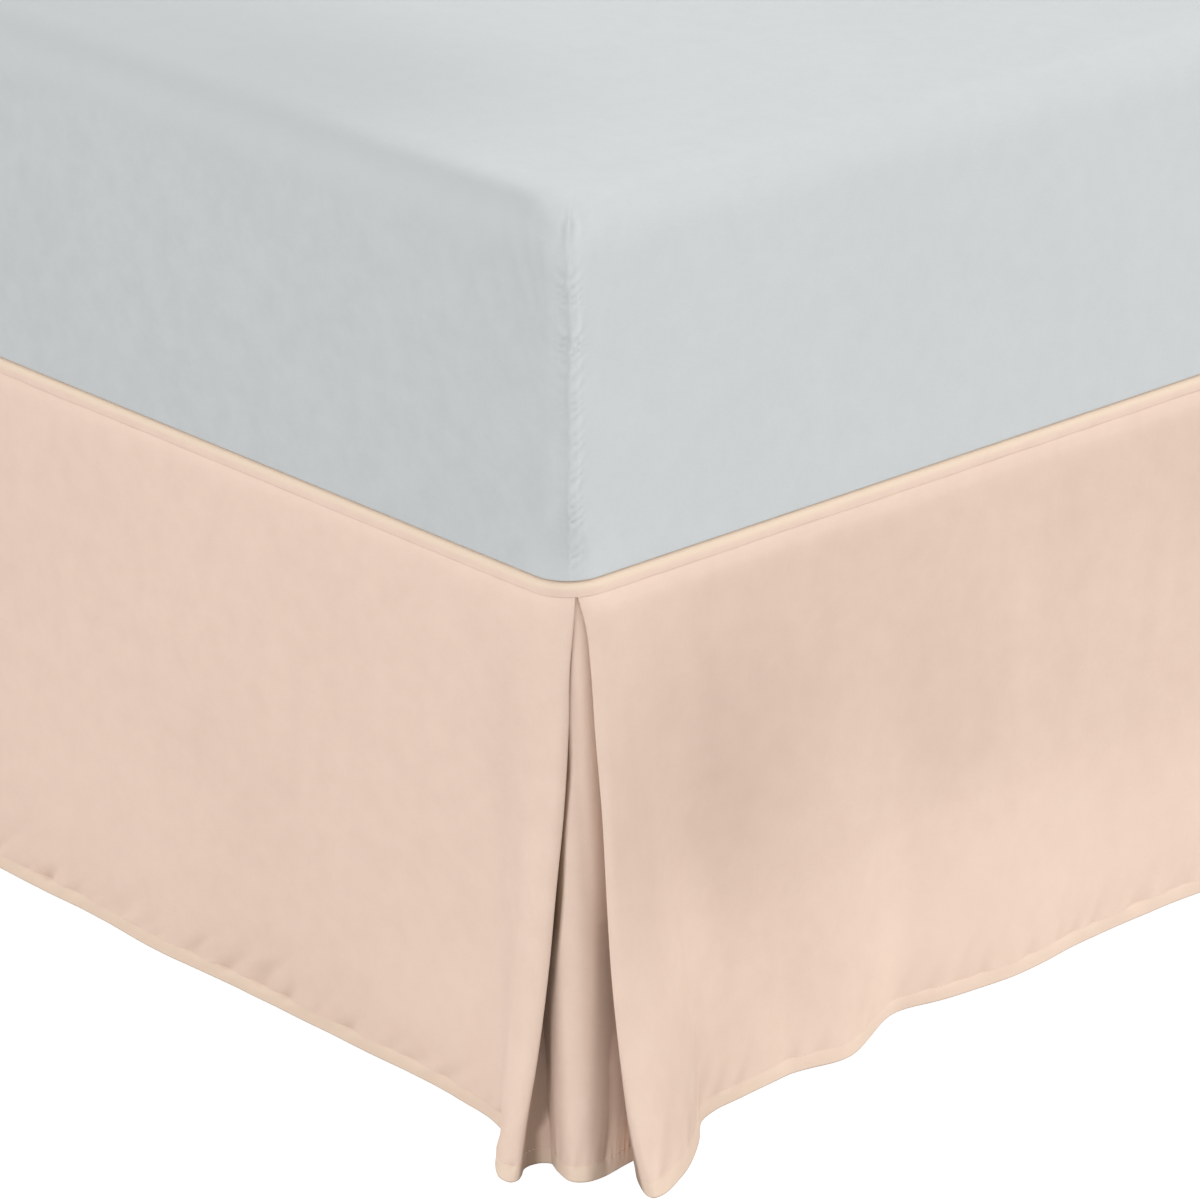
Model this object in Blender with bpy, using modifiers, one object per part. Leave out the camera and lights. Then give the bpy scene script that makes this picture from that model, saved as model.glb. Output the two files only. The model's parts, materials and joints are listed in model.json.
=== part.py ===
"""Tailored bed skirt hanging on a queen-size bed, with a pleat at each foot corner.

The skirt is a deck that lies between the mattress and the box spring, a drop sewn
just below the deck's turned-down edge on the foot and on each side, and an insert
behind the drops at each foot corner. Units are metres and +Z is up. The bed's foot is
towards -Y and its head towards +Y. The origin is on the floor under the centre leg.
"""

import math

import bmesh
import bpy

MM = 0.001

# Bed and skirt
BED_WIDTH = 1.524            # over the outside of the drops, at their top
BED_LENGTH = 2.032
CORNER_RADIUS = 0.030
DECK_TOP = 0.3825
HEM_HEIGHT = 0.006           # of the drops' lower edge above the floor
CLOTH = 0.0012
PIECE_GAP = 0.0003

# Deck's turned-down edge, with the drops sewn on just below it
BAND_DEPTH = 0.0095
BAND_ROUND = 0.007
BAND_BOTTOM = DECK_TOP - BAND_DEPTH
DECK_UNDERSIDE = DECK_TOP - CLOTH
DROP_TOP = BAND_BOTTOM - PIECE_GAP

# Corner pleats
FOLD_RADIUS = 0.0011         # of the fold's middle line, at the top
FOOT_FOLD_SET_BACK = -0.0058  # of the foot drop's fold from the corner's middle
SIDE_FOLD_SET_BACK = 0.0075
INSERT_DEPTH = 0.0049        # of the insert's middle behind the drops' face
INSERT_TUCK = 0.0065         # of the insert above the drops' top, behind the band

# Mattress, box spring and frame
MATTRESS_SET_BACK = 0.002    # of the mattress's side from the drops' face
MATTRESS_HEIGHT = 0.235
MATTRESS_CORNER = 0.027      # at its foot, and growing towards its top
MATTRESS_TOP_CORNER = 0.042
MATTRESS_TOP_ROUND = 0.036
MATTRESS_BOTTOM_ROUND = 0.004
FOUNDATION_SET_BACK = 0.0085
FOUNDATION_BOTTOM = 0.185
FOUNDATION_ROUND = 0.010
RAIL_WIDTH = 0.030
RAIL_HEIGHT = 0.040
RAIL_ROUND = 0.003
RAIL_SET_BACK = 0.065        # of a side rail's outer face from the drops' face
RAIL_END_SET_BACK = 0.070
CROSS_RAIL_Y = {"foot": -0.82, "middle": 0.0, "head": 0.82}
LEG_RADIUS = 0.016
GLIDE_RADIUS = 0.022
GLIDE_HEIGHT = 0.012

# How each drop's end hangs at a foot corner: the hem line in plan, one row for each
# bend, in millimetres. cloth is measured from the fold, negative on the return;
# along is from the sharp corner of the bed, and out is from the drops' face.
# early is 1 where the cloth leaves the bed high up and 0 where it does so low down.
#     cloth  along  out  early
FOOT_END = (
    (-46, 3, 18, 0.0),
    (-31, 4, 27, 0.0),
    (-19, 3, 35, 0.0),
    (-9, -3, 42, 0.0),
    (-2, -6, 48, 0.0),
    (5, -4, 53, 0.0),
    (13, 4, 54, 0.0),
    (24, 17, 46, 0.0),
    (40, 31, 30, 0.0),
    (54, 45, 14, 0.0),
    (68, 60, 8, 0.0),
    (100, 100, 6, 0.0),
    (140, 145, 6, 0.0),
)
SIDE_END = (
    (-46, 24, 38, 0.0),
    (-38, 18, 44, 0.3),
    (-19, 4, 63, 0.8),
    (-6, -2, 77, 1.0),
    (0, -1, 81, 1.0),
    (6, 4, 82, 1.0),
    (28, 29, 73, 1.0),
    (50, 50, 61, 0.8),
    (72, 72, 43, 0.5),
    (90, 90, 24, 0.3),
    (104, 105, 17, 0.1),
    (130, 134, 13, 0.0),
    (170, 176, 9, 0.0),
)
# The insert's hem line at a corner, in millimetres: cloth is measured round the top
# edge from the corner's middle, right is away from the bed's side and back is
# towards its head, both from the sharp corner.
#     cloth  right  back
INSERT_HEM = (
    (-54, -17, -13),
    (-44, -7, -15.5),
    (-34, 4, -17),
    (-20, 17, -22),
    (-8, 31, -24),
    (2, 38, -17),
    (12, 40, -7),
    (24, 39, 4),
    (36, 37.5, 13),
    (46, 36.4, 22),
    (54, 35.5, 32),
)
CORNER_FLARE = {"right": 1.0, "left": 0.88}

# How the two fold edges of a pleat wander along the bed on their way down, in
# millimetres away from the pleat: share is of the way from the band to the hem.
#     share  foot  side
FOLD_WANDER = (
    (0.00, 0.0, 0.0),
    (0.05, 1.0, 3.6),
    (0.12, 2.3, 4.3),
    (0.22, 0.8, 3.2),
    (0.38, -0.9, 2.1),
    (0.50, -1.2, -0.6),
    (0.66, -3.2, -4.3),
    (0.80, -3.6, -5.6),
    (0.91, -1.8, -4.1),
    (1.00, -2.0, 0.0),
)
WANDER_REACH = 0.070         # of cloth from a fold, over which its wander fades

# Soft folds along each drop, in millimetres at the hem: centre of the fold from the
# foot corner, its half width, and how far it swells out (or in, if negative).
#     at  half_width  swell
FOOT_FOLDS_RIGHT = (
    (125, 55, -5),
    (240, 80, -2),
    (400, 55, 4),
    (560, 90, 3),
)
FOOT_FOLDS_LEFT = (
    (150, 70, 5),
    (330, 80, -3),
    (520, 90, 5),
)
SIDE_FOLDS_RIGHT = (
    (128, 45, 6),
    (168, 28, 4),
    (219, 34, 17),
    (292, 26, -8),
    (395, 50, 7),
    (640, 70, 6),
    (850, 90, -4),
    (1080, 80, 7),
    (1330, 110, -4),
    (1600, 90, 6),
    (1950, 130, 5),
)
SIDE_FOLDS_LEFT = (
    (150, 60, 7),
    (270, 45, -6),
    (430, 70, 9),
    (700, 90, -4),
    (930, 80, 8),
    (1250, 120, -3),
    (1520, 80, 7),
    (1960, 120, 6),
)
FOOT_HANG = 6                # how far a drop hangs out between its folds, in mm
SIDE_HANG = 9

# Where the cloth is divided: distances from the fold in millimetres, and the share
# of the way from the band down to the hem
RETURN_DIVISIONS = (-46, -38, -30, -22, -15, -9, -4.5)
NEAR_DIVISIONS = (4, 8, 14, 21, 29, 38, 47, 57, 69, 83, 98, 115, 135)
MIDDLE_STEP = 26
MIDDLE_END = 470
FAR_STEP = 52
INSERT_STEP = 6
HEIGHT_SHARES = (0.0, 0.04, 0.10, 0.19, 0.31, 0.45, 0.59, 0.73, 0.87, 1.0)

HALF_WIDTH = BED_WIDTH / 2
HALF_LENGTH = BED_LENGTH / 2
CORNER_RUN = CORNER_RADIUS * math.pi / 4      # half the cloth round a corner
FOLD_RUN = FOLD_RADIUS * math.pi / 2          # half the cloth round a fold

CLOTH_COLOUR = (0.788, 0.604, 0.491)
SHEET_COLOUR = (0.610, 0.651, 0.658)
TICKING_COLOUR = (0.780, 0.770, 0.740)
STEEL_COLOUR = (0.035, 0.036, 0.038)
GLIDE_COLOUR = (0.020, 0.020, 0.020)


def smooth_row(rows, place):
    """Values of a table at a place in its first column, on a smooth curve."""
    place = min(max(place, rows[0][0]), rows[-1][0])
    last = len(rows) - 2
    index = min(last, max(i for i in range(last + 1) if rows[i][0] <= place))

    def secant(i, column):
        return (rows[i + 1][column] - rows[i][column]) / (rows[i + 1][0] - rows[i][0])

    def slope(i, column):
        if i == 0:
            return secant(0, column)
        if i == last + 1:
            return secant(last, column)
        before = rows[i][0] - rows[i - 1][0]
        after = rows[i + 1][0] - rows[i][0]
        return (secant(i - 1, column) * after + secant(i, column) * before) / (before + after)

    span = rows[index + 1][0] - rows[index][0]
    s = (place - rows[index][0]) / span
    values = []
    for column in range(1, len(rows[0])):
        start = rows[index][column]
        end = rows[index + 1][column]
        values.append(
            start * (1 + 2 * s) * (1 - s) ** 2
            + end * s * s * (3 - 2 * s)
            + slope(index, column) * span * s * (1 - s) ** 2
            - slope(index + 1, column) * span * s * s * (1 - s)
        )
    return values


def smooth_step(share):
    """0 up to a share of 0, 1 from a share of 1, and smooth between them."""
    share = min(1.0, max(0.0, share))
    return share * share * (3 - 2 * share)


def corner_edge(run, depth):
    """Point on a foot corner's top edge, from the sharp corner, as (right, back).

    run is the distance round the edge from the corner's middle, negative on the
    foot and positive on the side; depth is how far inside the drops' face it is.
    """
    straight = abs(run) - CORNER_RUN
    if straight <= 0:
        angle = math.pi / 4 + run / CORNER_RADIUS
        radius = CORNER_RADIUS - depth
        return (-CORNER_RADIUS + radius * math.sin(angle),
                CORNER_RADIUS - radius * math.cos(angle))
    if run < 0:
        return (-CORNER_RADIUS - straight, depth)
    return (-depth, CORNER_RADIUS + straight)


def drop_top_point(cloth, direction, set_back):
    """Point of a drop's top line: its face, its fold or its return."""
    middle = CLOTH / 2
    if abs(cloth) < FOLD_RUN:
        turn = cloth / FOLD_RADIUS
        run = set_back + FOLD_RADIUS * (1 - math.cos(turn))
        depth = middle + FOLD_RADIUS * (1 - math.sin(turn))
    else:
        run = set_back + FOLD_RADIUS + abs(cloth) - FOLD_RUN
        depth = middle if cloth > 0 else middle + 2 * FOLD_RADIUS
    return corner_edge(direction * run, depth)


def swell(folds, along):
    """How far the soft folds push the hem out, in millimetres."""
    return sum(out * math.exp(-((along - at) / width) ** 2) for at, width, out in folds)


def opening_share(height_share, early):
    """Share of its way out that the cloth has gone at a share of the drop's height."""
    low_down = height_share ** 1.6
    high_up = 0.75 * height_share + 0.25 * height_share ** 4
    return low_down + (high_up - low_down) * early


def drop_point(cloth, height_share, direction, set_back, end_rows, folds, hang, flare):
    """Point of a drop in the corner's plan: (right, back), from the sharp corner."""
    wander = smooth_row(FOLD_WANDER, height_share)[0 if direction < 0 else 1]
    wander *= 1 - smooth_step(cloth / WANDER_REACH)
    top = drop_top_point(cloth, direction, set_back + wander * MM)
    last = end_rows[-1]
    along, out, early = smooth_row(end_rows, cloth / MM)
    if cloth / MM > last[0]:
        along = cloth / MM + last[1] - last[0]
    along += wander
    out = out + (hang - last[2]) * min(1.0, max(0.0, (cloth / MM) / last[0]))
    out += swell(folds, along)
    hem = (-along * MM, -out * MM) if direction < 0 else (out * MM, along * MM)
    share = opening_share(height_share, early) * flare
    return tuple(a + (b - a) * share for a, b in zip(top, hem))


def divisions_to(end):
    """Cloth distances from the return's edge to the far end, finer near the fold."""
    places = [place * MM for place in RETURN_DIVISIONS]
    places += [FOLD_RUN * share for share in (-1.0, -0.5, 0.0, 0.5, 1.0)]
    places += [place * MM for place in NEAR_DIVISIONS]
    while places[-1] < end - FAR_STEP * MM:
        step = MIDDLE_STEP if places[-1] < MIDDLE_END * MM else FAR_STEP
        places.append(places[-1] + step * MM)
    places.append(end)
    return places


def sheet_object(name, columns, point_at, material, tucked_up=0.0):
    """A cloth sheet on a grid: point_at(column, height_share) gives its plan.

    tucked_up is how far it goes up, behind the deck's edge, above the drops' top.
    """
    rows = [(DROP_TOP + (HEM_HEIGHT - DROP_TOP) * share, share) for share in HEIGHT_SHARES]
    if tucked_up:
        rows.insert(0, (DROP_TOP + tucked_up, 0.0))
    mesh = bpy.data.meshes.new(name)
    bm = bmesh.new()
    across = len(columns) - 1
    down = len(rows) - 1
    bmesh.ops.create_grid(bm, x_segments=across, y_segments=down, size=1)
    for vert in bm.verts:
        column = columns[round((vert.co.x + 1) / 2 * across)]
        height, share = rows[round((1 - vert.co.y) / 2 * down)]
        x, y = point_at(column, share)
        vert.co = (x, y, height)
    bm.to_mesh(mesh)
    bm.free()
    obj = add_object(name, mesh, material)
    thickness = obj.modifiers.new("cloth_thickness", "SOLIDIFY")
    thickness.thickness = CLOTH
    thickness.offset = 0
    smooth(obj)
    return obj


def corner_place(side, point):
    """World x and y of a point measured from the sharp foot corner on one side."""
    sign = 1 if side == "right" else -1
    return sign * (HALF_WIDTH + point[0]), -HALF_LENGTH + point[1]


def add_object(name, mesh, material):
    obj = bpy.data.objects.new(name, mesh)
    mesh.materials.append(material)
    parts.objects.link(obj)
    return obj


def smooth(obj, degrees=35):
    obj.data.shade_smooth()
    obj.data.set_sharp_from_angle(angle=math.radians(degrees))


def plain_material(name, colour, roughness, metallic=0.0):
    material = bpy.data.materials.new(name)
    material.use_nodes = True
    shader = material.node_tree.nodes["Principled BSDF"]
    shader.inputs["Base Color"].default_value = (*colour, 1.0)
    shader.inputs["Roughness"].default_value = roughness
    shader.inputs["Metallic"].default_value = metallic
    material.diffuse_color = (*colour, 1.0)
    return material


def block_mesh(name, low, high, rounds, segments, top_corner=None):
    """A box whose upright, top and bottom edges are rounded, in that order.

    top_corner is the radius of its upright corners at the top, where that is larger.
    """
    mesh = bpy.data.meshes.new(name)
    bm = bmesh.new()
    bmesh.ops.create_cube(bm, size=1)
    for vert in bm.verts:
        for axis in range(3):
            vert.co[axis] = high[axis] if vert.co[axis] > 0 else low[axis]
    upright = [e for e in bm.edges if abs(e.verts[0].co.z - e.verts[1].co.z) > MM]
    bevel(bm, upright, rounds[0], segments[0])
    if top_corner:
        for vert in bm.verts:
            if vert.co.z > high[2] - MM:
                for axis in range(2):
                    bend = high[axis] - rounds[0]
                    share = (abs(vert.co[axis]) - bend) / rounds[0]
                    vert.co[axis] = math.copysign(high[axis] - top_corner * (1 - share),
                                                  vert.co[axis])
    for level, radius, steps in ((high[2], rounds[1], segments[1]),
                                 (low[2], rounds[2], segments[2])):
        rim = [e for e in bm.edges if all(abs(v.co.z - level) < MM for v in e.verts)]
        bevel(bm, rim, radius, steps)
    bm.to_mesh(mesh)
    bm.free()
    return mesh


def bevel(bm, edges, radius, segments):
    bmesh.ops.bevel(bm, geom=edges, offset=radius, offset_type="OFFSET", affect="EDGES",
                    segments=segments, profile=0.5, material=-1)


def make_deck(material):
    """The platform sheet, its edge turned down on the foot and on both sides."""
    mesh = bpy.data.meshes.new("deck")
    bm = bmesh.new()
    bmesh.ops.create_cube(bm, size=1)
    for vert in bm.verts:
        vert.co.x = math.copysign(HALF_WIDTH, vert.co.x)
        vert.co.y = math.copysign(HALF_LENGTH, vert.co.y)
        vert.co.z = DECK_TOP if vert.co.z > 0 else BAND_BOTTOM
    open_faces = [f for f in bm.faces if f.normal.z < -0.5 or f.normal.y > 0.5]
    bmesh.ops.delete(bm, geom=open_faces, context="FACES")
    foot_corners = [e for e in bm.edges
                    if abs(e.verts[0].co.z - e.verts[1].co.z) > MM and e.verts[0].co.y < 0]
    bevel(bm, foot_corners, CORNER_RADIUS, 8)
    rim = [e for e in bm.edges if not e.is_boundary
           and all(abs(v.co.z - DECK_TOP) < MM for v in e.verts)]
    bevel(bm, rim, BAND_ROUND, 3)
    bm.to_mesh(mesh)
    bm.free()
    obj = add_object("deck", mesh, material)
    thickness = obj.modifiers.new("cloth_thickness", "SOLIDIFY")
    thickness.thickness = CLOTH
    thickness.offset = -1
    smooth(obj)


def make_foot_drop(material):
    """The foot drop, from one pleat return round to the other."""
    middle = HALF_WIDTH - CORNER_RADIUS + CORNER_RUN
    middle -= FOOT_FOLD_SET_BACK + FOLD_RADIUS - FOLD_RUN
    half = divisions_to(middle)
    columns = [("left", cloth) for cloth in half]
    columns += [("right", cloth) for cloth in reversed(half[:-1])]
    folds = {"left": FOOT_FOLDS_LEFT, "right": FOOT_FOLDS_RIGHT}

    def point_at(column, share):
        side, cloth = column
        flare = CORNER_FLARE[side]
        flare += (1 - flare) * min(1.0, max(0.0, cloth / middle))
        point = drop_point(cloth, share, -1, FOOT_FOLD_SET_BACK, FOOT_END, folds[side],
                           FOOT_HANG, flare)
        return corner_place(side, point)

    sheet_object("drop_foot", columns, point_at, material)


def make_side_drop(side, folds, material):
    """One side drop, from its pleat return to its plain end at the head."""
    end = BED_LENGTH - CORNER_RADIUS + CORNER_RUN
    end -= SIDE_FOLD_SET_BACK + FOLD_RADIUS - FOLD_RUN
    columns = divisions_to(end)
    if side == "left":
        columns = list(reversed(columns))

    def point_at(cloth, share):
        point = drop_point(cloth, share, 1, SIDE_FOLD_SET_BACK, SIDE_END, folds,
                           SIDE_HANG, CORNER_FLARE[side])
        return corner_place(side, point)

    sheet_object(f"drop_side_{side}", columns, point_at, material)


def make_pleat_insert(side, material):
    """The cloth behind the two returns at one foot corner."""
    end = -INSERT_HEM[0][0]
    columns = [place * MM for place in range(-end, end + 1, INSERT_STEP)]
    if side == "left":
        columns = list(reversed(columns))

    def point_at(cloth, share):
        top = corner_edge(cloth, INSERT_DEPTH)
        hem = [value * MM for value in smooth_row(INSERT_HEM, cloth / MM)]
        out = opening_share(share, 0.0) * CORNER_FLARE[side]
        return corner_place(side, [a + (b - a) * out for a, b in zip(top, hem)])

    sheet_object(f"pleat_insert_{side}", columns, point_at, material, INSERT_TUCK)


def make_mattress(material):
    half_width = HALF_WIDTH - MATTRESS_SET_BACK
    half_length = HALF_LENGTH - MATTRESS_SET_BACK
    bottom = DECK_TOP + PIECE_GAP
    mesh = block_mesh("mattress", (-half_width, -half_length, bottom),
                      (half_width, half_length, DECK_TOP + MATTRESS_HEIGHT),
                      (MATTRESS_CORNER, MATTRESS_TOP_ROUND, MATTRESS_BOTTOM_ROUND),
                      (6, 5, 2), MATTRESS_TOP_CORNER)
    smooth(add_object("mattress", mesh, material), 50)


def make_foundation(material):
    half_width = HALF_WIDTH - FOUNDATION_SET_BACK
    half_length = HALF_LENGTH - FOUNDATION_SET_BACK
    mesh = block_mesh("foundation", (-half_width, -half_length, FOUNDATION_BOTTOM),
                      (half_width, half_length, DECK_UNDERSIDE - PIECE_GAP),
                      (CORNER_RADIUS, FOUNDATION_ROUND, FOUNDATION_ROUND), (5, 2, 2))
    smooth(add_object("foundation", mesh, material), 50)


def make_rail(name, low, high, material):
    mesh = block_mesh(name, low, high, (RAIL_ROUND,) * 3, (1, 1, 1))
    smooth(add_object(name, mesh, material), 50)


def make_post(name, x, y, bottom, top, foot_radius, top_radius, material):
    mesh = bpy.data.meshes.new(name)
    bm = bmesh.new()
    bmesh.ops.create_cone(bm, cap_ends=True, segments=20, radius1=foot_radius,
                          radius2=top_radius, depth=top - bottom)
    bmesh.ops.translate(bm, verts=bm.verts, vec=(0, 0, (top - bottom) / 2))
    bm.to_mesh(mesh)
    bm.free()
    obj = add_object(name, mesh, material)
    obj.location = (x, y, bottom)
    smooth(obj)


def make_frame(steel, glide_plastic):
    """Two side rails, three cross rails, and seven legs on flat glides."""
    top = FOUNDATION_BOTTOM - PIECE_GAP
    bottom = top - RAIL_HEIGHT
    outer = HALF_WIDTH - RAIL_SET_BACK
    inner = outer - RAIL_WIDTH
    end = HALF_LENGTH - RAIL_END_SET_BACK
    legs = {"leg_centre": (0.0, 0.0)}
    for side, sign in (("right", 1), ("left", -1)):
        low_x, high_x = sorted((sign * inner, sign * outer))
        make_rail(f"side_rail_{side}", (low_x, -end, bottom), (high_x, end, top), steel)
        for place, y in CROSS_RAIL_Y.items():
            legs[f"leg_{place}_{side}"] = (sign * (inner + outer) / 2, y)
    reach = inner - PIECE_GAP
    for place, y in CROSS_RAIL_Y.items():
        make_rail(f"cross_rail_{place}", (-reach, y - RAIL_WIDTH / 2, bottom),
                  (reach, y + RAIL_WIDTH / 2, top), steel)
    for name, (x, y) in legs.items():
        make_post(name, x, y, GLIDE_HEIGHT + PIECE_GAP, bottom - PIECE_GAP,
                  LEG_RADIUS, LEG_RADIUS, steel)
        make_post(name.replace("leg", "glide"), x, y, 0.0, GLIDE_HEIGHT,
                  GLIDE_RADIUS, GLIDE_RADIUS * 0.86, glide_plastic)


for old in list(bpy.data.objects):
    bpy.data.objects.remove(old, do_unlink=True)

parts = bpy.data.collections.new("bed_skirt")
bpy.context.scene.collection.children.link(parts)

skirt_cloth = plain_material("skirt_cloth", CLOTH_COLOUR, 0.85)
make_deck(skirt_cloth)
make_foot_drop(skirt_cloth)
make_side_drop("right", SIDE_FOLDS_RIGHT, skirt_cloth)
make_side_drop("left", SIDE_FOLDS_LEFT, skirt_cloth)
make_pleat_insert("right", skirt_cloth)
make_pleat_insert("left", skirt_cloth)
make_mattress(plain_material("sheet_cloth", SHEET_COLOUR, 0.85))
make_foundation(plain_material("ticking", TICKING_COLOUR, 0.9))
make_frame(plain_material("steel", STEEL_COLOUR, 0.45, 0.6),
           plain_material("glide_plastic", GLIDE_COLOUR, 0.5))
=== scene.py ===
"""Looks for a tailored bed skirt hanging on a queen-size bed."""

import json
import math

import bmesh
import bpy
from mathutils import Matrix, Vector, noise

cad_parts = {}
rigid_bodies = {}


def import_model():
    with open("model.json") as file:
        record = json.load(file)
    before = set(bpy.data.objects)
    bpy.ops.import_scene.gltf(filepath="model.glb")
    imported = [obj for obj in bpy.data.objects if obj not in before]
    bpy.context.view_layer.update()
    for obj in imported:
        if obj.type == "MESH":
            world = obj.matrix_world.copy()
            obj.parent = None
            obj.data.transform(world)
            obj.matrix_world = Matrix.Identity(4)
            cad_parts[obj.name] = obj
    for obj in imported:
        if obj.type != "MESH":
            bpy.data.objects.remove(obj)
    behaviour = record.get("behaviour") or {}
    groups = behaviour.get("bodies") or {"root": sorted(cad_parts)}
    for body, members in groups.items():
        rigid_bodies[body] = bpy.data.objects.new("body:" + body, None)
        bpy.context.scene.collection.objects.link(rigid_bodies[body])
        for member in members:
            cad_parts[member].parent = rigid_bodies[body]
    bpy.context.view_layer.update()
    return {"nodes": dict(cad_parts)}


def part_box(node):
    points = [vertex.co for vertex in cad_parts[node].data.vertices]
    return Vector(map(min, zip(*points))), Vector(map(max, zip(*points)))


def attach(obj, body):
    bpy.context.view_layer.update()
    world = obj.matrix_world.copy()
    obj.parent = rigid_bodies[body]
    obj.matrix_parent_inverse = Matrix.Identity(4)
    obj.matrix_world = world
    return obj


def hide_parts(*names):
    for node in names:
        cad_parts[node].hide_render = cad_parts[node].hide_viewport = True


for old in list(bpy.data.objects):
    bpy.data.objects.remove(old, do_unlink=True)

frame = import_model()


# ---- Steel bed frame -------------------------------------------------------------
# Two side rails and three cross rails of square tube, and seven round legs, all in
# satin black powder coat. The side rails' ends are closed with moulded plugs, and two
# bolts hold each end of a cross rail.

class Wire:
    """An output socket of a material. Arithmetic on wires adds Math nodes to it."""

    def __init__(self, tree, socket=None):
        self.tree = tree
        self.socket = socket

    def node(self, kind, settings=None, inputs=None, output=0):
        """Add a node: its settings first, then the values or wires of its sockets."""
        made = self.tree.nodes.new(kind)
        for name, value in (settings or {}).items():
            setattr(made, name, value)
        for name, value in (inputs or {}).items():
            if isinstance(value, Wire):
                self.tree.links.new(value.socket, made.inputs[name])
            else:
                made.inputs[name].default_value = value
        return Wire(self.tree, made.outputs[output])

    def axes(self):
        """The x, y and z of this place."""
        split = self.node("ShaderNodeSeparateXYZ", {}, {"Vector": self}).socket.node
        return [Wire(self.tree, split.outputs[axis]) for axis in "XYZ"]

    def math(self, operation, first, second=0.0):
        return self.node("ShaderNodeMath", {"operation": operation}, {0: first, 1: second})

    def __add__(self, other):
        return self.math("ADD", self, other)

    def __sub__(self, other):
        return self.math("SUBTRACT", self, other)

    def __rsub__(self, other):
        return self.math("SUBTRACT", other, self)

    def __mul__(self, other):
        return self.math("MULTIPLY", self, other)

    __radd__ = __add__
    __rmul__ = __mul__

    def wave(self, pitch):
        """A sine of this distance in metres, from -1 to 1, with one wave a pitch."""
        return self.math("SINE", self * (2 * math.pi / pitch))

    def step(self, start, end):
        """0 up to start and 1 from end, smooth between them."""
        return self.node("ShaderNodeMapRange", {"interpolation_type": "SMOOTHSTEP"},
                         {"Value": self, "From Min": start, "From Max": end})

    def between(self, low, high):
        """The colour that lies this share of the way from one colour to another."""
        return self.node("ShaderNodeMix", {"data_type": "RGBA"},
                         {0: self, 6: low, 7: high}, output=2)

    def nap_and_shading(self, plain, darker, lighter):
        """A colour with painted shade where this wire is above 0, and painted light where below.
        """
        return (-1 * self).between(self.between(plain, darker), lighter)

    def grain(self, size, detail=2.0, roughness=0.5):
        """Cloudy noise from 0 to 1, on this place, with lumps of this size in metres."""
        return self.node("ShaderNodeTexNoise", {"noise_dimensions": "3D"},
                         {"Vector": self, "Scale": 1 / size, "Detail": detail,
                          "Roughness": roughness})

    def stretched(self, scale):
        """This place, with each axis multiplied."""
        return self.node("ShaderNodeMapping", {}, {"Vector": self, "Scale": scale})

    def bump(self, depth):
        """A normal from this height, where 1 stands for depth in metres."""
        return self.node("ShaderNodeBump", {}, {"Height": self, "Distance": depth})


def srgb(red, green, blue):
    """A colour from its 8-bit display values."""
    def linear(value):
        value /= 255
        return value / 12.92 if value <= 0.04045 else ((value + 0.055) / 1.055) ** 2.4
    return (linear(red), linear(green), linear(blue), 1.0)


def new_material(name, **constants):
    """A material with constants set on its shader, and the wire of Object coordinates."""
    material = bpy.data.materials.new(name)
    material.use_nodes = True
    shader = material.node_tree.nodes["Principled BSDF"]
    for socket, value in constants.items():
        shader.inputs[socket.replace("_", " ")].default_value = value
    return material, Wire(material.node_tree).node("ShaderNodeTexCoord", output="Object")


def into_shader(material, **wires):
    """Link wires to the sockets of a material's shader, and give the material back."""
    shader = material.node_tree.nodes["Principled BSDF"]
    for socket, wire in wires.items():
        material.node_tree.links.new(wire.socket, shader.inputs[socket.replace("_", " ")])
    return material


def repaint(nodes, material):
    """Give the frame's own nodes a finish."""
    for node in nodes:
        mesh = frame["nodes"][node].data
        mesh.materials.clear()
        mesh.materials.append(material)


def object_from(bm, name, material):
    """Make an object of a finished bmesh."""
    mesh = bpy.data.meshes.new(name)
    bm.to_mesh(mesh)
    bm.free()
    mesh.materials.append(material)
    made = bpy.data.objects.new(name, mesh)
    bpy.context.scene.collection.objects.link(made)
    return made


def piece_from(bm, name, material, smooth=True):
    """Make a piece of a finished bmesh, riding on the bed."""
    piece = object_from(bm, name, material)
    if smooth:
        piece.data.shade_smooth()
    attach(piece, "root")
    return piece


def bevel(bm, edges, radius, segments):
    bmesh.ops.bevel(bm, geom=edges, offset=radius, offset_type="OFFSET", affect="EDGES",
                    segments=segments, profile=0.5, material=-1)


def add_block(bm, centre, size, rounding):
    """Add a box with rounded edges to a bmesh."""
    made = bmesh.ops.create_cube(bm, size=1)["verts"]
    bmesh.ops.scale(bm, verts=made, vec=size)
    bmesh.ops.translate(bm, verts=made, vec=centre)
    bevel(bm, list({edge for vert in made for edge in vert.link_edges}), rounding, 2)


def add_turned(bm, centre, axis, radius, depth, sides, rounding):
    """Add a washer, collar or bolt head on an axis, with its outer rims rounded."""
    turn = Vector((0, 0, 1)).rotation_difference(Vector(axis)).to_matrix().to_4x4()
    made = bmesh.ops.create_cone(bm, cap_ends=True, segments=sides, radius1=radius,
                                 radius2=radius, depth=depth,
                                 matrix=Matrix.Translation(centre) @ turn)["verts"]
    caps = {face for vert in made for face in vert.link_faces if len(face.verts) == sides}
    bevel(bm, list({edge for cap in caps for edge in cap.edges}), rounding, 2)


def powder_coat():
    material, place = new_material("black_powder_coat", Metallic=0.0, Coat_Weight=0.15,
                                   Coat_Roughness=0.3)
    orange_peel = place.grain(0.0016)
    cloud = place.grain(0.09, 3.0)
    return into_shader(material, Base_Color=cloud.between(srgb(38, 39, 41), srgb(52, 53, 55)),
                       Roughness=0.42 + 0.12 * cloud + 0.06 * orange_peel,
                       Normal=orange_peel.bump(0.00012))


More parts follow.
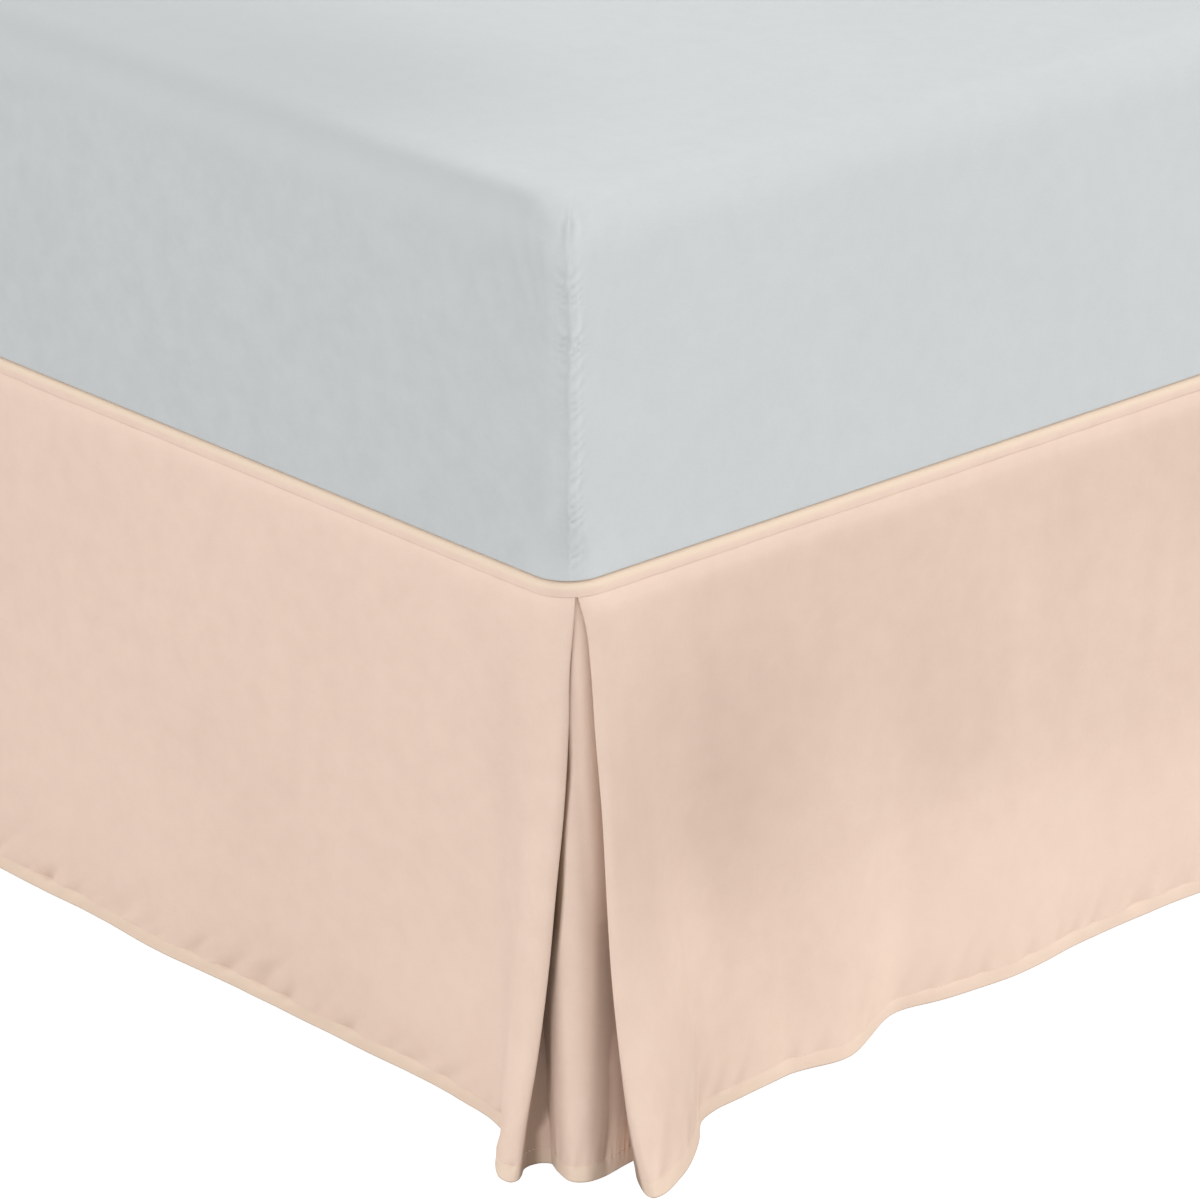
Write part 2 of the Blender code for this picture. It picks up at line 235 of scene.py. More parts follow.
def zinc_plate():
    material, place = new_material("zinc_plate", Metallic=1.0)
    spangle = place.grain(0.004)
    return into_shader(material,
                       Base_Color=spangle.between(srgb(150, 152, 156), srgb(186, 188, 190)),
                       Roughness=0.28 + 0.2 * place.grain(0.0015))


def moulded_plastic(name, dark, light):
    material, place = new_material(name)
    grain = place.grain(0.0009, 3.0, 0.6)
    cloud = place.grain(0.03)
    return into_shader(material, Base_Color=cloud.between(srgb(*dark), srgb(*light)),
                       Roughness=0.5 + 0.15 * cloud, Normal=grain.bump(0.00006))


def nodes_named(start):
    """The frame's own nodes whose names begin with one of these words."""
    return [node for node in frame["nodes"] if node.startswith(start)]


PLUG_GAP = 0.0002            # between a plug's flange and its rail's end
PLUG_WALL = 0.0022
PLUG_FLANGE = 0.0025
PLUG_ROUNDING = 0.0009
BOLT_RADIUS = 0.0065
BOLT_HEAD = 0.005
BOLT_ROUNDING = 0.0006
BOLTS_APART = (0.014, 0.0196)   # the two of a joint, along the rail and up
WASHER = 0.0014
WASHER_RADIUS = BOLT_RADIUS * 1.55
WASHER_ROUNDING = 0.0003
COLLAR_HEIGHT = 0.016
COLLAR_WALL = 0.0035
COLLAR_ROUNDING = 0.0015
COLLAR_DROP = 0.0003         # of its top under the top of the leg
SHARP_EDGE = math.radians(35)

steel_finish = powder_coat()
repaint(nodes_named(("side_rail", "cross_rail", "leg")), steel_finish)
plugs = bmesh.new()
bolts = bmesh.new()
collars = bmesh.new()
for side, outside in (("right", 1), ("left", -1)):
    low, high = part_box(f"side_rail_{side}")
    middle = (low + high) / 2
    for end_y, outward in ((low.y, -1), (high.y, 1)):
        add_block(plugs, (middle.x, end_y + outward * (PLUG_FLANGE / 2 + PLUG_GAP), middle.z),
                  (high.x - low.x - PLUG_WALL / 2, PLUG_FLANGE, high.z - low.z - PLUG_WALL / 2),
                  PLUG_ROUNDING)
    outer_x = high.x if outside == 1 else low.x
    for cross in ("foot", "middle", "head"):
        cross_y = sum(corner.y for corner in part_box(f"cross_rail_{cross}")) / 2
        for half in (-0.5, 0.5):
            y, z = cross_y + half * BOLTS_APART[0], middle.z + half * BOLTS_APART[1]
            add_turned(bolts, (outer_x + outside * BOLT_HEAD / 2, y, z), (1, 0, 0),
                       BOLT_RADIUS, BOLT_HEAD, 6, BOLT_ROUNDING)
            add_turned(bolts, (outer_x + outside * WASHER / 2, y, z), (1, 0, 0),
                       WASHER_RADIUS, WASHER, 24, WASHER_ROUNDING)
for leg in nodes_named("leg"):
    low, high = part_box(leg)
    centre = (low + high) / 2
    add_turned(collars, (centre.x, centre.y, high.z - COLLAR_HEIGHT / 2 - COLLAR_DROP), (0, 0, 1),
               (high.x - low.x) / 2 + COLLAR_WALL, COLLAR_HEIGHT, 32, COLLAR_ROUNDING)
plug_plastic = moulded_plastic("black_plug_plastic", (26, 26, 27), (38, 38, 39))
piece_from(plugs, "rail_end_plugs", plug_plastic, smooth=False)
piece_from(bolts, "cross_rail_bolts", zinc_plate(), smooth=False)
collar_piece = piece_from(collars, "leg_collars", steel_finish)
collar_piece.data.set_sharp_from_angle(angle=SHARP_EDGE)


# ---- Glides ----------------------------------------------------------------------
# Each leg stands on a round moulded glide with a flat underside, pushed onto the
# tube. They stay as the frame has them and get their moulded finish.

repaint(nodes_named("glide"), moulded_plastic("glide_plastic", (28, 28, 29), (44, 44, 45)))


# ---- Box spring ------------------------------------------------------------------
# A wooden box of springs covered in off-white woven ticking, its edges bound with
# piping of the same cloth, and a black dust cover stapled over its underside. It
# lies loose on the rails.

MM = 0.001
BORDER_BULGE = 0.0022
BORDER_RIPPLE = (0.0008, 0.0006, 0.0007)   # broad, fine, and the binding's gathers
BOX_CORNER = 0.030
BOX_EDGE = 0.010
BINDING = 0.012              # the width that the binding draws into small gathers
PIPING_RADIUS = 0.0032
PIPING_INSET = 0.0035        # of the piping's middle from the box's sides
PIPING_LEVEL = 0.0075        # and from its top and underside
PANEL_CUT = 0.045            # about this far apart, across the box spring and mattress
BORDER_CUT = 0.014

foundation_low, foundation_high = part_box("foundation")


def ticking():
    material, place = new_material("woven_ticking", Sheen_Weight=0.2, Sheen_Roughness=0.5)
    x, y, up = place.axes()
    across = x + y
    rib = (across + 0.35 * up.wave(0.012) * 0.004).wave(0.0038)
    thread = across.wave(0.0009) * up.wave(0.0009)
    cloud = place.grain(0.05, 3.0)
    weave = 0.5 + 0.32 * rib + 0.12 * thread
    tone = weave * 0.5 + cloud * 0.5
    return into_shader(material,
                       Base_Color=tone.between(srgb(206, 203, 195), srgb(229, 227, 221)),
                       Roughness=0.8 + 0.1 * cloud, Normal=weave.bump(0.00035))


def dust_cloth():
    material, place = new_material("dust_cover_cloth")
    fibre = place.grain(0.0012, 4.0, 0.7)
    return into_shader(material, Base_Color=fibre.between(srgb(30, 30, 31), srgb(48, 48, 49)),
                       Roughness=0.85 + 0.1 * fibre, Normal=fibre.bump(0.0002))


def lumps(x, y, z):
    """Smooth noise from -1 to 1, with lumps about one unit across."""
    return noise.noise(Vector((x, y, z)))


def cut_across(bm, axis, places, faces=None):
    """Divide faces along planes square to an axis."""
    normal = [0, 0, 0]
    normal[axis] = 1
    for place in places:
        point = [0, 0, 0]
        point[axis] = place
        if faces is None:
            geometry = bm.verts[:] + bm.edges[:] + bm.faces[:]
        else:
            chosen = [face for face in bm.faces if faces(face)]
            geometry = list({part for face in chosen
                             for part in (*face.verts, *face.edges)}) + chosen
        bmesh.ops.bisect_plane(bm, geom=geometry, dist=0.00002, plane_co=point, plane_no=normal)


def plain_block(low, high):
    """A bmesh box between two corners."""
    bm = bmesh.new()
    bmesh.ops.create_cube(bm, size=1)
    for vert in bm.verts:
        for axis in range(3):
            vert.co[axis] = high[axis] if vert.co[axis] > 0 else low[axis]
    return bm


def upright_edges(bm):
    """The edges of a plain block that stand upright."""
    return [e for e in bm.edges if abs(e.verts[0].co.z - e.verts[1].co.z) > MM]


def edges_at(bm, level):
    """The edges that lie at a level."""
    return [e for e in bm.edges if all(abs(v.co.z - level) < 0.1 * MM for v in e.verts)]


def spread(start, end, step):
    """Places from start to end about a step apart, without the two ends."""
    count = max(1, round(abs(end - start) / step))
    return [start + (end - start) * index / count for index in range(1, count)]


def drawn_on(bm, edges, step):
    """Draw the open end of a cord on by a step, and give its new end."""
    made = bmesh.ops.extrude_edge_only(bm, edges=edges)["geom"]
    verts = [part for part in made if isinstance(part, bmesh.types.BMVert)]
    bmesh.ops.translate(bm, verts=verts, vec=step)
    return [part for part in made if isinstance(part, bmesh.types.BMEdge)
            and all(v in verts for v in part.verts)]


def add_piping(bm, half_width, half_length, corner, level):
    """Sweep a round cord along a rectangle with rounded corners."""
    position = Vector((half_width, 0, level))
    start = Matrix.Translation(position) @ Matrix.Rotation(math.pi / 2, 4, "X")
    ring = bmesh.ops.create_circle(bm, segments=10, radius=PIPING_RADIUS, matrix=start)["verts"]
    edges = list({edge for vert in ring for edge in vert.link_edges})
    wide, long = 2 * (half_width - corner), 2 * (half_length - corner)
    for x, y, length in ((0, 1, long / 2), (-1, 0, wide), (0, -1, long), (1, 0, wide)):
        step = Vector((x * length, y * length, 0))
        edges = drawn_on(bm, edges, step)
        centre = position + step + Vector((-y * corner, x * corner, 0))
        spun = bmesh.ops.spin(bm, geom=edges, cent=centre, axis=(0, 0, 1), angle=math.pi / 2,
                              steps=8, use_merge=False, use_duplicate=False)["geom_last"]
        edges = [part for part in spun if isinstance(part, bmesh.types.BMEdge)]
        position = centre + Vector((x * corner, y * corner, 0))
    drawn_on(bm, edges, Vector((0, long / 2, 0)))
    bmesh.ops.remove_doubles(bm, verts=bm.verts, dist=0.00005)
    bmesh.ops.recalc_face_normals(bm, faces=bm.faces)


box_spring = plain_block(foundation_low, foundation_high)
bevel(box_spring, upright_edges(box_spring), BOX_CORNER, 8)
for level in (foundation_high.z, foundation_low.z):
    bevel(box_spring, edges_at(box_spring, level), BOX_EDGE, 3)
for axis in (0, 1):
    cut_across(box_spring, axis, spread(foundation_low[axis], foundation_high[axis], PANEL_CUT))
cut_across(box_spring, 2, spread(foundation_low.z, foundation_high.z, BORDER_CUT))
box_spring.normal_update()
border_height = foundation_high.z - foundation_low.z
broad, fine, gathers = BORDER_RIPPLE
for vert in box_spring.verts:
    share = (vert.co.z - foundation_low.z) / border_height
    if abs(vert.normal.z) < 0.5:
        swell = BORDER_BULGE * math.sin(math.pi * share) ** 0.6
        edge = math.exp(-min(share, 1 - share) * border_height / BINDING)
        ripple = broad * noise.noise(vert.co * 14) + fine * noise.noise(vert.co * 45)
        ripple += gathers * edge * lumps(vert.co.x * 70, vert.co.y * 70, 3)
        vert.co += vert.normal * (swell + ripple - BORDER_BULGE)
for face in box_spring.faces:
    face.material_index = 1 if face.normal.z < -0.9 else 0
ticking_finish = ticking()
box_spring_piece = piece_from(box_spring, "box_spring", ticking_finish)
box_spring_piece.data.materials.append(dust_cloth())
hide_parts("foundation")

piping = bmesh.new()
for level in (foundation_low.z + PIPING_LEVEL, foundation_high.z - PIPING_LEVEL):
    add_piping(piping, foundation_high.x - PIPING_INSET, foundation_high.y - PIPING_INSET,
               BOX_CORNER - PIPING_INSET, level)
piece_from(piping, "box_spring_piping", ticking_finish)


# ---- Bed skirt: deck -------------------------------------------------------------
# One flat platform sheet of peach microfibre that lies between the mattress and the
# box spring. It turns down about 10 mm over the edge of the box spring on the foot
# and both sides, where the drops are sewn on, and is left plain at the head.

CLOTH_DARK = (228, 202, 185)
CLOTH_LIGHT = (233, 208, 191)
# Paler cloth: a painted highlight on the deck's turn, and the band of a drop's hem.
PALE_TONE = (233, 212, 190)
# Tones for painted shade and painted light on the skirt.
PAINTED_SHADE_TONE = (120, 94, 74)
PAINTED_LIGHT_TONE = (248, 223, 206)
THREAD_PITCH = 0.00045
CLOTH = 0.0005
BAND_CORNER = 0.030
BAND_ROUND = 0.007           # where the deck turns down
BAND_REACH = 0.009           # how far in from its sides the deck is shaped
PALE_FROM = 0.0035           # a painted highlight makes the deck's cloth paler this far above the seam
DECK_CONTACT_LIGHT = -0.2             # painted light that lifts the contact shadow under the mattress, but for the face of its band
SEAM_TUCK = 0.00014          # how far both cloths turn in at the seam
SEAM_LIP = 0.0006            # over this distance from the seam
SEAM_WANDER = 0.00035        # of the seam line, up and down
HEM_TURN = 0.010
BAND_CUTS = 260              # along each straight edge of the band

deck_low, deck_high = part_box("deck")
HALF_WIDTH = deck_high.x
FOOT_Y = deck_low.y
HEAD_Y = deck_high.y
SEAM_HEIGHT = deck_low.z
DROP = SEAM_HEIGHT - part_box("drop_foot")[0].z
STITCH_LINE = DROP - HEM_TURN


def microfibre(name="peach_microfibre", edge=None):
    """Peach cloth laid out by its UV map, which holds metres of cloth.

    edge is the height above which a painted highlight makes the cloth paler, on the
    deck; a drop is paler on its hem. The tone attribute is above 0 for painted shade,
    and below 0 for painted light.
    """
    material, place = new_material(name, Sheen_Weight=0.25, Sheen_Roughness=0.45,
                                   Sheen_Tint=srgb(255, 236, 224), Specular_IOR_Level=0.25)
    cloth = place.node("ShaderNodeUVMap", {"uv_map": "cloth"})
    along, down, _ = cloth.axes()
    weave = along.wave(THREAD_PITCH) * down.wave(THREAD_PITCH)
    weft_slubs = cloth.stretched((1.0, 14.0, 1.0)).grain(0.012, 3.0, 0.6)
    warp_slubs = cloth.stretched((16.0, 1.0, 1.0)).grain(0.015, 2.0, 0.6)
    nap_and_shading = place.grain(0.0014, 3.0, 0.6)
    mottle = place.grain(0.020, 3.0, 0.6)
    cloud = place.grain(0.11)
    if edge is None:
        pale = 0.6 * down.step(STITCH_LINE - 0.001, STITCH_LINE + 0.002)
    else:
        pale = place.axes()[2].step(edge, edge + 0.003)
    tone = 0.5 + 0.5 * (cloud - 0.5) + 0.45 * (nap_and_shading - 0.5) + 0.5 * (weft_slubs - 0.5)
    tone += 0.4 * (warp_slubs - 0.5) + 1.8 * (mottle - 0.5)
    plain = pale.between(tone.between(srgb(*CLOTH_DARK), srgb(*CLOTH_LIGHT)), srgb(*PALE_TONE))
    # Painted shade where the tone attribute is above 0, and painted light where it is below.
    painted_light_and_shade = place.node("ShaderNodeAttribute", {"attribute_name": "tone"}, output="Fac")
    plain = painted_light_and_shade.nap_and_shading(plain, srgb(*PAINTED_SHADE_TONE), srgb(*PAINTED_LIGHT_TONE))
    # Painted shade along the folded edge of the hem, and over its inner layer.
    hem_edge_shade = down.step(DROP - 0.0011, DROP - 0.0004)
    plain = (0.3 * hem_edge_shade).between(plain, srgb(*PAINTED_SHADE_TONE))
    height = 0.15 * weave + weft_slubs * 0.6 + warp_slubs * 0.4 + nap_and_shading * 0.35
    return into_shader(material, Base_Color=plain, Roughness=0.86 + 0.08 * nap_and_shading,
                       Normal=height.bump(0.00016))


skirt_cloth = microfibre()
deck_cloth = microfibre("peach_deck_microfibre", SEAM_HEIGHT + PALE_FROM)


def seam_wander(run):
    """How far the seam line lies from level, by its distance round the bed."""
    return SEAM_WANDER * (lumps(run / 0.045, 7.3, 0) + 0.6 * lumps(run / 0.014, 2.1, 0))


def seam_tuck(run, above):
    """How far the cloth turns in at the seam, drawn tighter here and looser there."""
    tight = 0.6 + 1.1 * lumps(run / 0.055, 4.4, 1.0)
    return SEAM_TUCK * max(0.05, tight) * math.exp(-above / SEAM_LIP)


def round_the_bed(x, y):
    """Distance of a point on the drops' face from the nearer foot corner's middle.

    It is positive along the sides and negative along the foot.
    """
    quarter = BAND_CORNER * math.pi / 4
    from_side = HALF_WIDTH - abs(x)
    from_foot = y - FOOT_Y
    if from_side < BAND_CORNER and from_foot < BAND_CORNER:
        angle = math.atan2(BAND_CORNER - from_side, BAND_CORNER - from_foot)
        return BAND_CORNER * (angle - math.pi / 4)
    if from_foot >= BAND_CORNER and from_side < from_foot:
        return quarter + from_foot - BAND_CORNER
    return -quarter - (from_side - BAND_CORNER)


def add_thickness(piece, offset):
    """Give a sheet the thickness of the skirt's cloth: offset 0 puts half on each side."""
    thickness = piece.modifiers.new("cloth", "SOLIDIFY")
    thickness.thickness = CLOTH
    thickness.offset = offset


deck = plain_block(deck_low, deck_high)
openings = [face for face in deck.faces if face.normal.z < -0.5 or face.normal.y > 0.5]
bmesh.ops.delete(deck, geom=openings, context="FACES")
bevel(deck, [e for e in upright_edges(deck) if e.verts[0].co.y < 0], BAND_CORNER, 18)
bevel(deck, [e for e in edges_at(deck, deck_high.z) if not e.is_boundary], BAND_ROUND, 7)


def on_band(face):
    """Every face but the flat of the deck, which has all the cut edges round it."""
    return len(face.verts) < 12


long_edges = [e for e in deck.edges if e.calc_length() > 1.0
              and min(v.co.y for v in e.verts) < HEAD_Y - MM]
bmesh.ops.subdivide_edges(deck, edges=long_edges, cuts=BAND_CUTS, use_grid_fill=True)
cut_across(deck, 2, [SEAM_HEIGHT + lip * MM for lip in (0.35, 0.8, 1.4, 2.2)], on_band)
deck.normal_update()
for vert in deck.verts:
    height = vert.co.z - SEAM_HEIGHT
    run = round_the_bed(vert.co.x, vert.co.y)
    if min(HALF_WIDTH - abs(vert.co.x), vert.co.y - FOOT_Y) < BAND_REACH:
        outward = Vector((vert.normal.x, vert.normal.y, 0))
        if outward.length > 0.05:
            outward.normalize()
            ease = 0.00025 * lumps(run / 0.03, vert.co.z / 0.006, 4)
            vert.co -= outward * (seam_tuck(run, height) - ease)
        vert.co.z += seam_wander(run) * math.exp(-height / 0.004)
# Painted light on the deck under the mattress's edge, rising from 0.9 mm to 2.5 mm in from the
# band's face.
tone_layer = deck.verts.layers.float.new("tone")
for vert in deck.verts:
    from_side, from_foot = HALF_WIDTH - abs(vert.co.x), vert.co.y - FOOT_Y
    inside = min(from_side, from_foot)
    if max(from_side, from_foot) < BAND_CORNER:
        inside = BAND_CORNER - math.hypot(BAND_CORNER - from_side, BAND_CORNER - from_foot)
    vert[tone_layer] = DECK_CONTACT_LIGHT * min(1.0, max(0.0, inside - 0.0009) / 0.0016)
uv = deck.loops.layers.uv.new("cloth")
for face in deck.faces:
    for loop in face.loops:
        x, y, z = loop.vert.co
        band = deck_high.z - z
        loop[uv].uv = (x + y, band) if band > 0.5 * MM else (x, y)
deck_piece = piece_from(deck, "skirt_deck", deck_cloth)
add_thickness(deck_piece, -1)
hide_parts("deck")


# ---- Bed skirt: drops ------------------------------------------------------------
# Three straight panels, on the foot and on each side, sewn to the deck's edge. At a
# foot corner each folds back behind itself as one half of an inverted pleat, which
# swings open towards the floor. A 10 mm hem is turned up inside and stitched.

FOLD_RADIUS = 0.0011
FOLD_SET_BACK = {"foot": -0.0058, "side": 0.0075}   # from the middle of the corner
CORNER_RUN = BAND_CORNER * math.pi / 4
FOLD_RUN = FOLD_RADIUS * math.pi / 2
FACE_DEPTH = 0.0006          # of the cloth's middle behind the bed's outline
HANG = {"foot": 6, "side": 9}   # of the hem out from the bed, in millimetres
RETURN = 0.046               # cloth folded back behind the drop at the pleat
WANDER_REACH = 0.070
FOLD_RISE = 3.2              # the higher, the lower down the soft folds start
HEM_LAYERS = 0.0011          # between the two layers of the hem
UNDER_SEAM = 0.0002          # of the cloth's first row
NEAR_STEP = 0.0031           # from strip to strip, up to NEAR_REACH from the fold
NEAR_REACH = 0.6
FAR_STEP = 0.0047
# The drops' tops behind the deck's edge: distance down from the seam, and how far inside.
TUCKED_TOP = ((-0.003, 0.0009), (-0.0009, 0.0008), (-0.0003, 0.0004))
SHOULDER = 0.0020            # how far the cloth rolls out under the seam
SHOULDER_ROLL = 0.015
HOLLOW_SHADE = 90            # painted shade per metre of a small hollow's depth
SHADE_START = {"foot": 0.001, "side": 0.008}   # on the return, from the fold
LEFT_AWAY = 3.0              # keeps the left drop's small relief from being the right's
# Puckers above the hem: pitch, depth and how far one leans as it rises.
HEM_PUCKERS = {"foot": (0.021, 0.0062, 1.0), "side": (0.015, 0.0034, 0.5),
               "insert": (0.0055, 0.0024, 0.2)}

# The hem line at a foot corner, in millimetres of plan: cloth from the fold, along
# the bed from its sharp corner, out from its side; early is 1 where the cloth leaves
# the bed high up.
#     cloth  along  out  early
FOOT_HEM = (
    (-46, -5, 16.8, 0.0),
    (-41, -1.5, 18.3, 0.0),
    (-36, 1.5, 21.5, 0.0),
    (-30, 3.2, 26.5, 0.0),
    (-19, 2.5, 35, 0.0),
    (-9, -3, 42, 0.0),
    (-2, -6, 48, 0.0),
    (5, -4, 53, 0.0),
    (13, 4, 54, 0.0),
    (24, 17, 46, 0.0),
    (40, 31, 30, 0.0),
    (54, 45, 14, 0.0),
    (68, 60, 8, 0.0),
    (100, 100, 6, 0.0),
    (140, 145, 6, 0.0),
)
SIDE_HEM = (
    (-46, 26, 35.4, 0.0),
    (-38, 18, 44, 0.3),
    (-19, 4, 63, 0.8),
    (-6, -2, 77, 1.0),
    (0, -1, 81, 1.0),
    (6, 4, 82, 1.0),
    (28, 29, 73, 1.0),
    (50, 50, 61, 0.8),
    (72, 72, 43, 0.5),
    (90, 90, 24, 0.3),
    (104, 105, 17, 0.1),
    (130, 134, 13, 0.0),
    (170, 176, 9, 0.0),
)
HEM_LINE = {"foot": FOOT_HEM, "side": SIDE_HEM}
CORNER_FLARE = {"right": 1.0, "left": 0.88}
# How the fold edges wander along the bed on the way down, in millimetres away from
# the pleat.
#     share  foot  side
FOLD_WANDER = (
    (0.00, 0.0, 0.0),
    (0.05, 1.0, 3.6),
    (0.12, 2.3, 4.3),
    (0.22, 0.8, 3.2),
    (0.38, -0.9, 2.1),
    (0.50, -1.2, -0.6),
    (0.66, -3.2, -4.3),
    (0.80, -3.6, -5.6),
    (0.91, -1.8, -4.1),
    (1.00, -2.0, 0.0),
)
# Soft folds that run down to the hem, in millimetres there.
#     at  half_width  swell
FOLDS = {
    "foot_right": ((125, 55, -5), (240, 80, -2), (400, 55, 4), (560, 90, 3)),
    "foot_left": ((150, 70, 5), (330, 80, -3), (520, 90, 5)),
    "right": ((128, 45, 6), (168, 28, 4), (219, 34, 17), (292, 26, -8), (395, 50, 7),
              (640, 70, 6), (850, 90, -4), (1080, 80, 7), (1330, 110, -4),
              (1600, 90, 6), (1950, 130, 5)),
    "left": ((150, 60, 7), (270, 45, -6), (430, 70, 9), (700, 90, -4), (930, 80, 8),
             (1250, 120, -3), (1520, 80, 7), (1960, 120, 6)),
}
# Soft troughs and ridges across the panels, in millimetres but for down and reach,
# which are shares of the drop; lean is how far one moves along on its way down.
#     at  down  half_width  reach  depth  lean
CREASES = {
    "foot_right": (
        (130, 0.45, 40, 0.25, -1.5, 30),
        (330, 0.50, 70, 0.30, 1.5, -40),
        (560, 0.40, 80, 0.30, -1.5, 40),
    ),
    "foot_left": (
        (180, 0.50, 50, 0.25, -2.5, 40),
        (420, 0.45, 70, 0.30, 2.0, -40),
    ),
    "right": (
        (96, 0.52, 56, 0.26, -7.5, 92),
        (250, 0.42, 90, 0.26, -4.0, 120),
        (430, 0.42, 80, 0.30, -2.5, 100),
        (640, 0.40, 90, 0.30, -3.0, 80),
    ),
    "left": (
        (160, 0.55, 60, 0.28, -4.0, 60),
        (420, 0.50, 70, 0.30, 3.0, -50),
        (760, 0.45, 90, 0.35, -3.0, 60),
        (1200, 0.50, 80, 0.30, 3.0, 40),
        (1640, 0.50, 90, 0.35, -3.0, -60),
    ),
}
# Patches of painted shade, and of painted light where amount is below 0, placed likewise.
#     at  down  half_width  reach  amount  lean
PAINTED_SHADE_AND_LIGHT = {
    "foot_right": (
        (45, 0.28, 32, 0.20, 0.05, 10),
        (90, 0.84, 110, 0.16, -0.24, 0),
        (330, 0.60, 90, 0.25, 0.02, 60),
        (460, 0.78, 120, 0.20, -0.12, 0),
    ),
    "foot_left": ((260, 0.40, 80, 0.25, 0.04, 60), (120, 0.80, 90, 0.20, -0.15, 0)),
    "right": (
        (100, 0.38, 125, 0.26, 0.165, 50),
        (28, 0.50, 26, 0.24, 0.060, 10),
        (235, 0.22, 90, 0.20, 0.035, 90),
        (560, 0.18, 90, 0.16, 0.028, 60),
        (62, 0.95, 46, 0.22, 0.140, 0),
        (190, 1.00, 40, 0.12, -0.36, 0),
        (300, 0.95, 44, 0.18, -0.22, 0),
        (240, 0.92, 32, 0.22, 0.160, 0),
        (335, 0.40, 60, 0.22, 0.060, 0),
        (432, 0.32, 26, 0.32, 0.030, 0),
    ),
    "left": ((180, 0.40, 80, 0.25, 0.06, 50), (900, 0.35, 160, 0.25, 0.04, 60)),
}


def clamp(share):
    return min(1.0, max(0.0, share))


def smooth_step(value, start=0.0, length=1.0):
    """0 up to start and then smoothly up to 1 over a length."""
    share = clamp((value - start) / length)
    return share * share * (3 - 2 * share)


def smooth_row(rows, place):
    """Values of a table at a place in its first column, on a smooth curve."""
    place = min(max(place, rows[0][0]), rows[-1][0])
    last = len(rows) - 2
    index = min(last, max(i for i in range(last + 1) if rows[i][0] <= place))

    def secant(i, column):
        return (rows[i + 1][column] - rows[i][column]) / (rows[i + 1][0] - rows[i][0])

    def slope(i, column):
        if i == 0:
            return secant(0, column)
        if i == last + 1:
            return secant(last, column)
        before = rows[i][0] - rows[i - 1][0]
        after = rows[i + 1][0] - rows[i][0]
        return (secant(i - 1, column) * after + secant(i, column) * before) / (before + after)

    span = rows[index + 1][0] - rows[index][0]
    s = (place - rows[index][0]) / span
    return [rows[index][column] * (1 + 2 * s) * (1 - s) ** 2
            + rows[index + 1][column] * s * s * (3 - 2 * s)
            + slope(index, column) * span * s * (1 - s) ** 2
            - slope(index + 1, column) * span * s * s * (1 - s)
            for column in range(1, len(rows[0]))]


def corner_edge(run, depth):
    """Point on a foot corner's top edge, as (right, back) from the sharp corner."""
    straight = abs(run) - CORNER_RUN
    if straight <= 0:
        angle = math.pi / 4 + run / BAND_CORNER
        radius = BAND_CORNER - depth
        return (-BAND_CORNER + radius * math.sin(angle), BAND_CORNER - radius * math.cos(angle))
    if run < 0:
        return (-BAND_CORNER - straight, depth)
    return (-depth, BAND_CORNER + straight)


def corner_place(side, point):
    """World x and y of a point measured from the sharp foot corner on one side."""
    sign = 1 if side == "right" else -1
    return Vector((sign * (HALF_WIDTH + point[0]), FOOT_Y + point[1]))


def cloth_to(place, kind):
    """Cloth from a drop's fold to a place on the straight, from the sharp corner."""
    return place - BAND_CORNER + CORNER_RUN - (FOLD_SET_BACK[kind] + FOLD_RADIUS - FOLD_RUN)


def top_place(side, run, depth):
    """World x and y on a foot corner's top edge, with which way is out from the bed."""
    point = corner_place(side, corner_edge(run, depth))
    outside = corner_place(side, corner_edge(run, depth - MM))
    return point, (outside - point).normalized()


def soft_patches(rows, along, share, flatness=1.0):
    """Sum of a table's patches at a place on a drop; flatness levels their middles."""
    total = 0.0
    for at, down, half_width, reach, amount, lean in rows:
        away = (((along - at - lean * (share - down)) / half_width) ** 2
                + ((share - down) / reach) ** 2)
        total += amount * math.exp(-away ** flatness)
    return total


def opening_share(share, early):
    """Share of its way out that the cloth has gone at a share of the drop's height."""
    low_down = share ** 1.6
    high_up = 0.75 * share + 0.25 * share ** 4
    return low_down + (high_up - low_down) * early


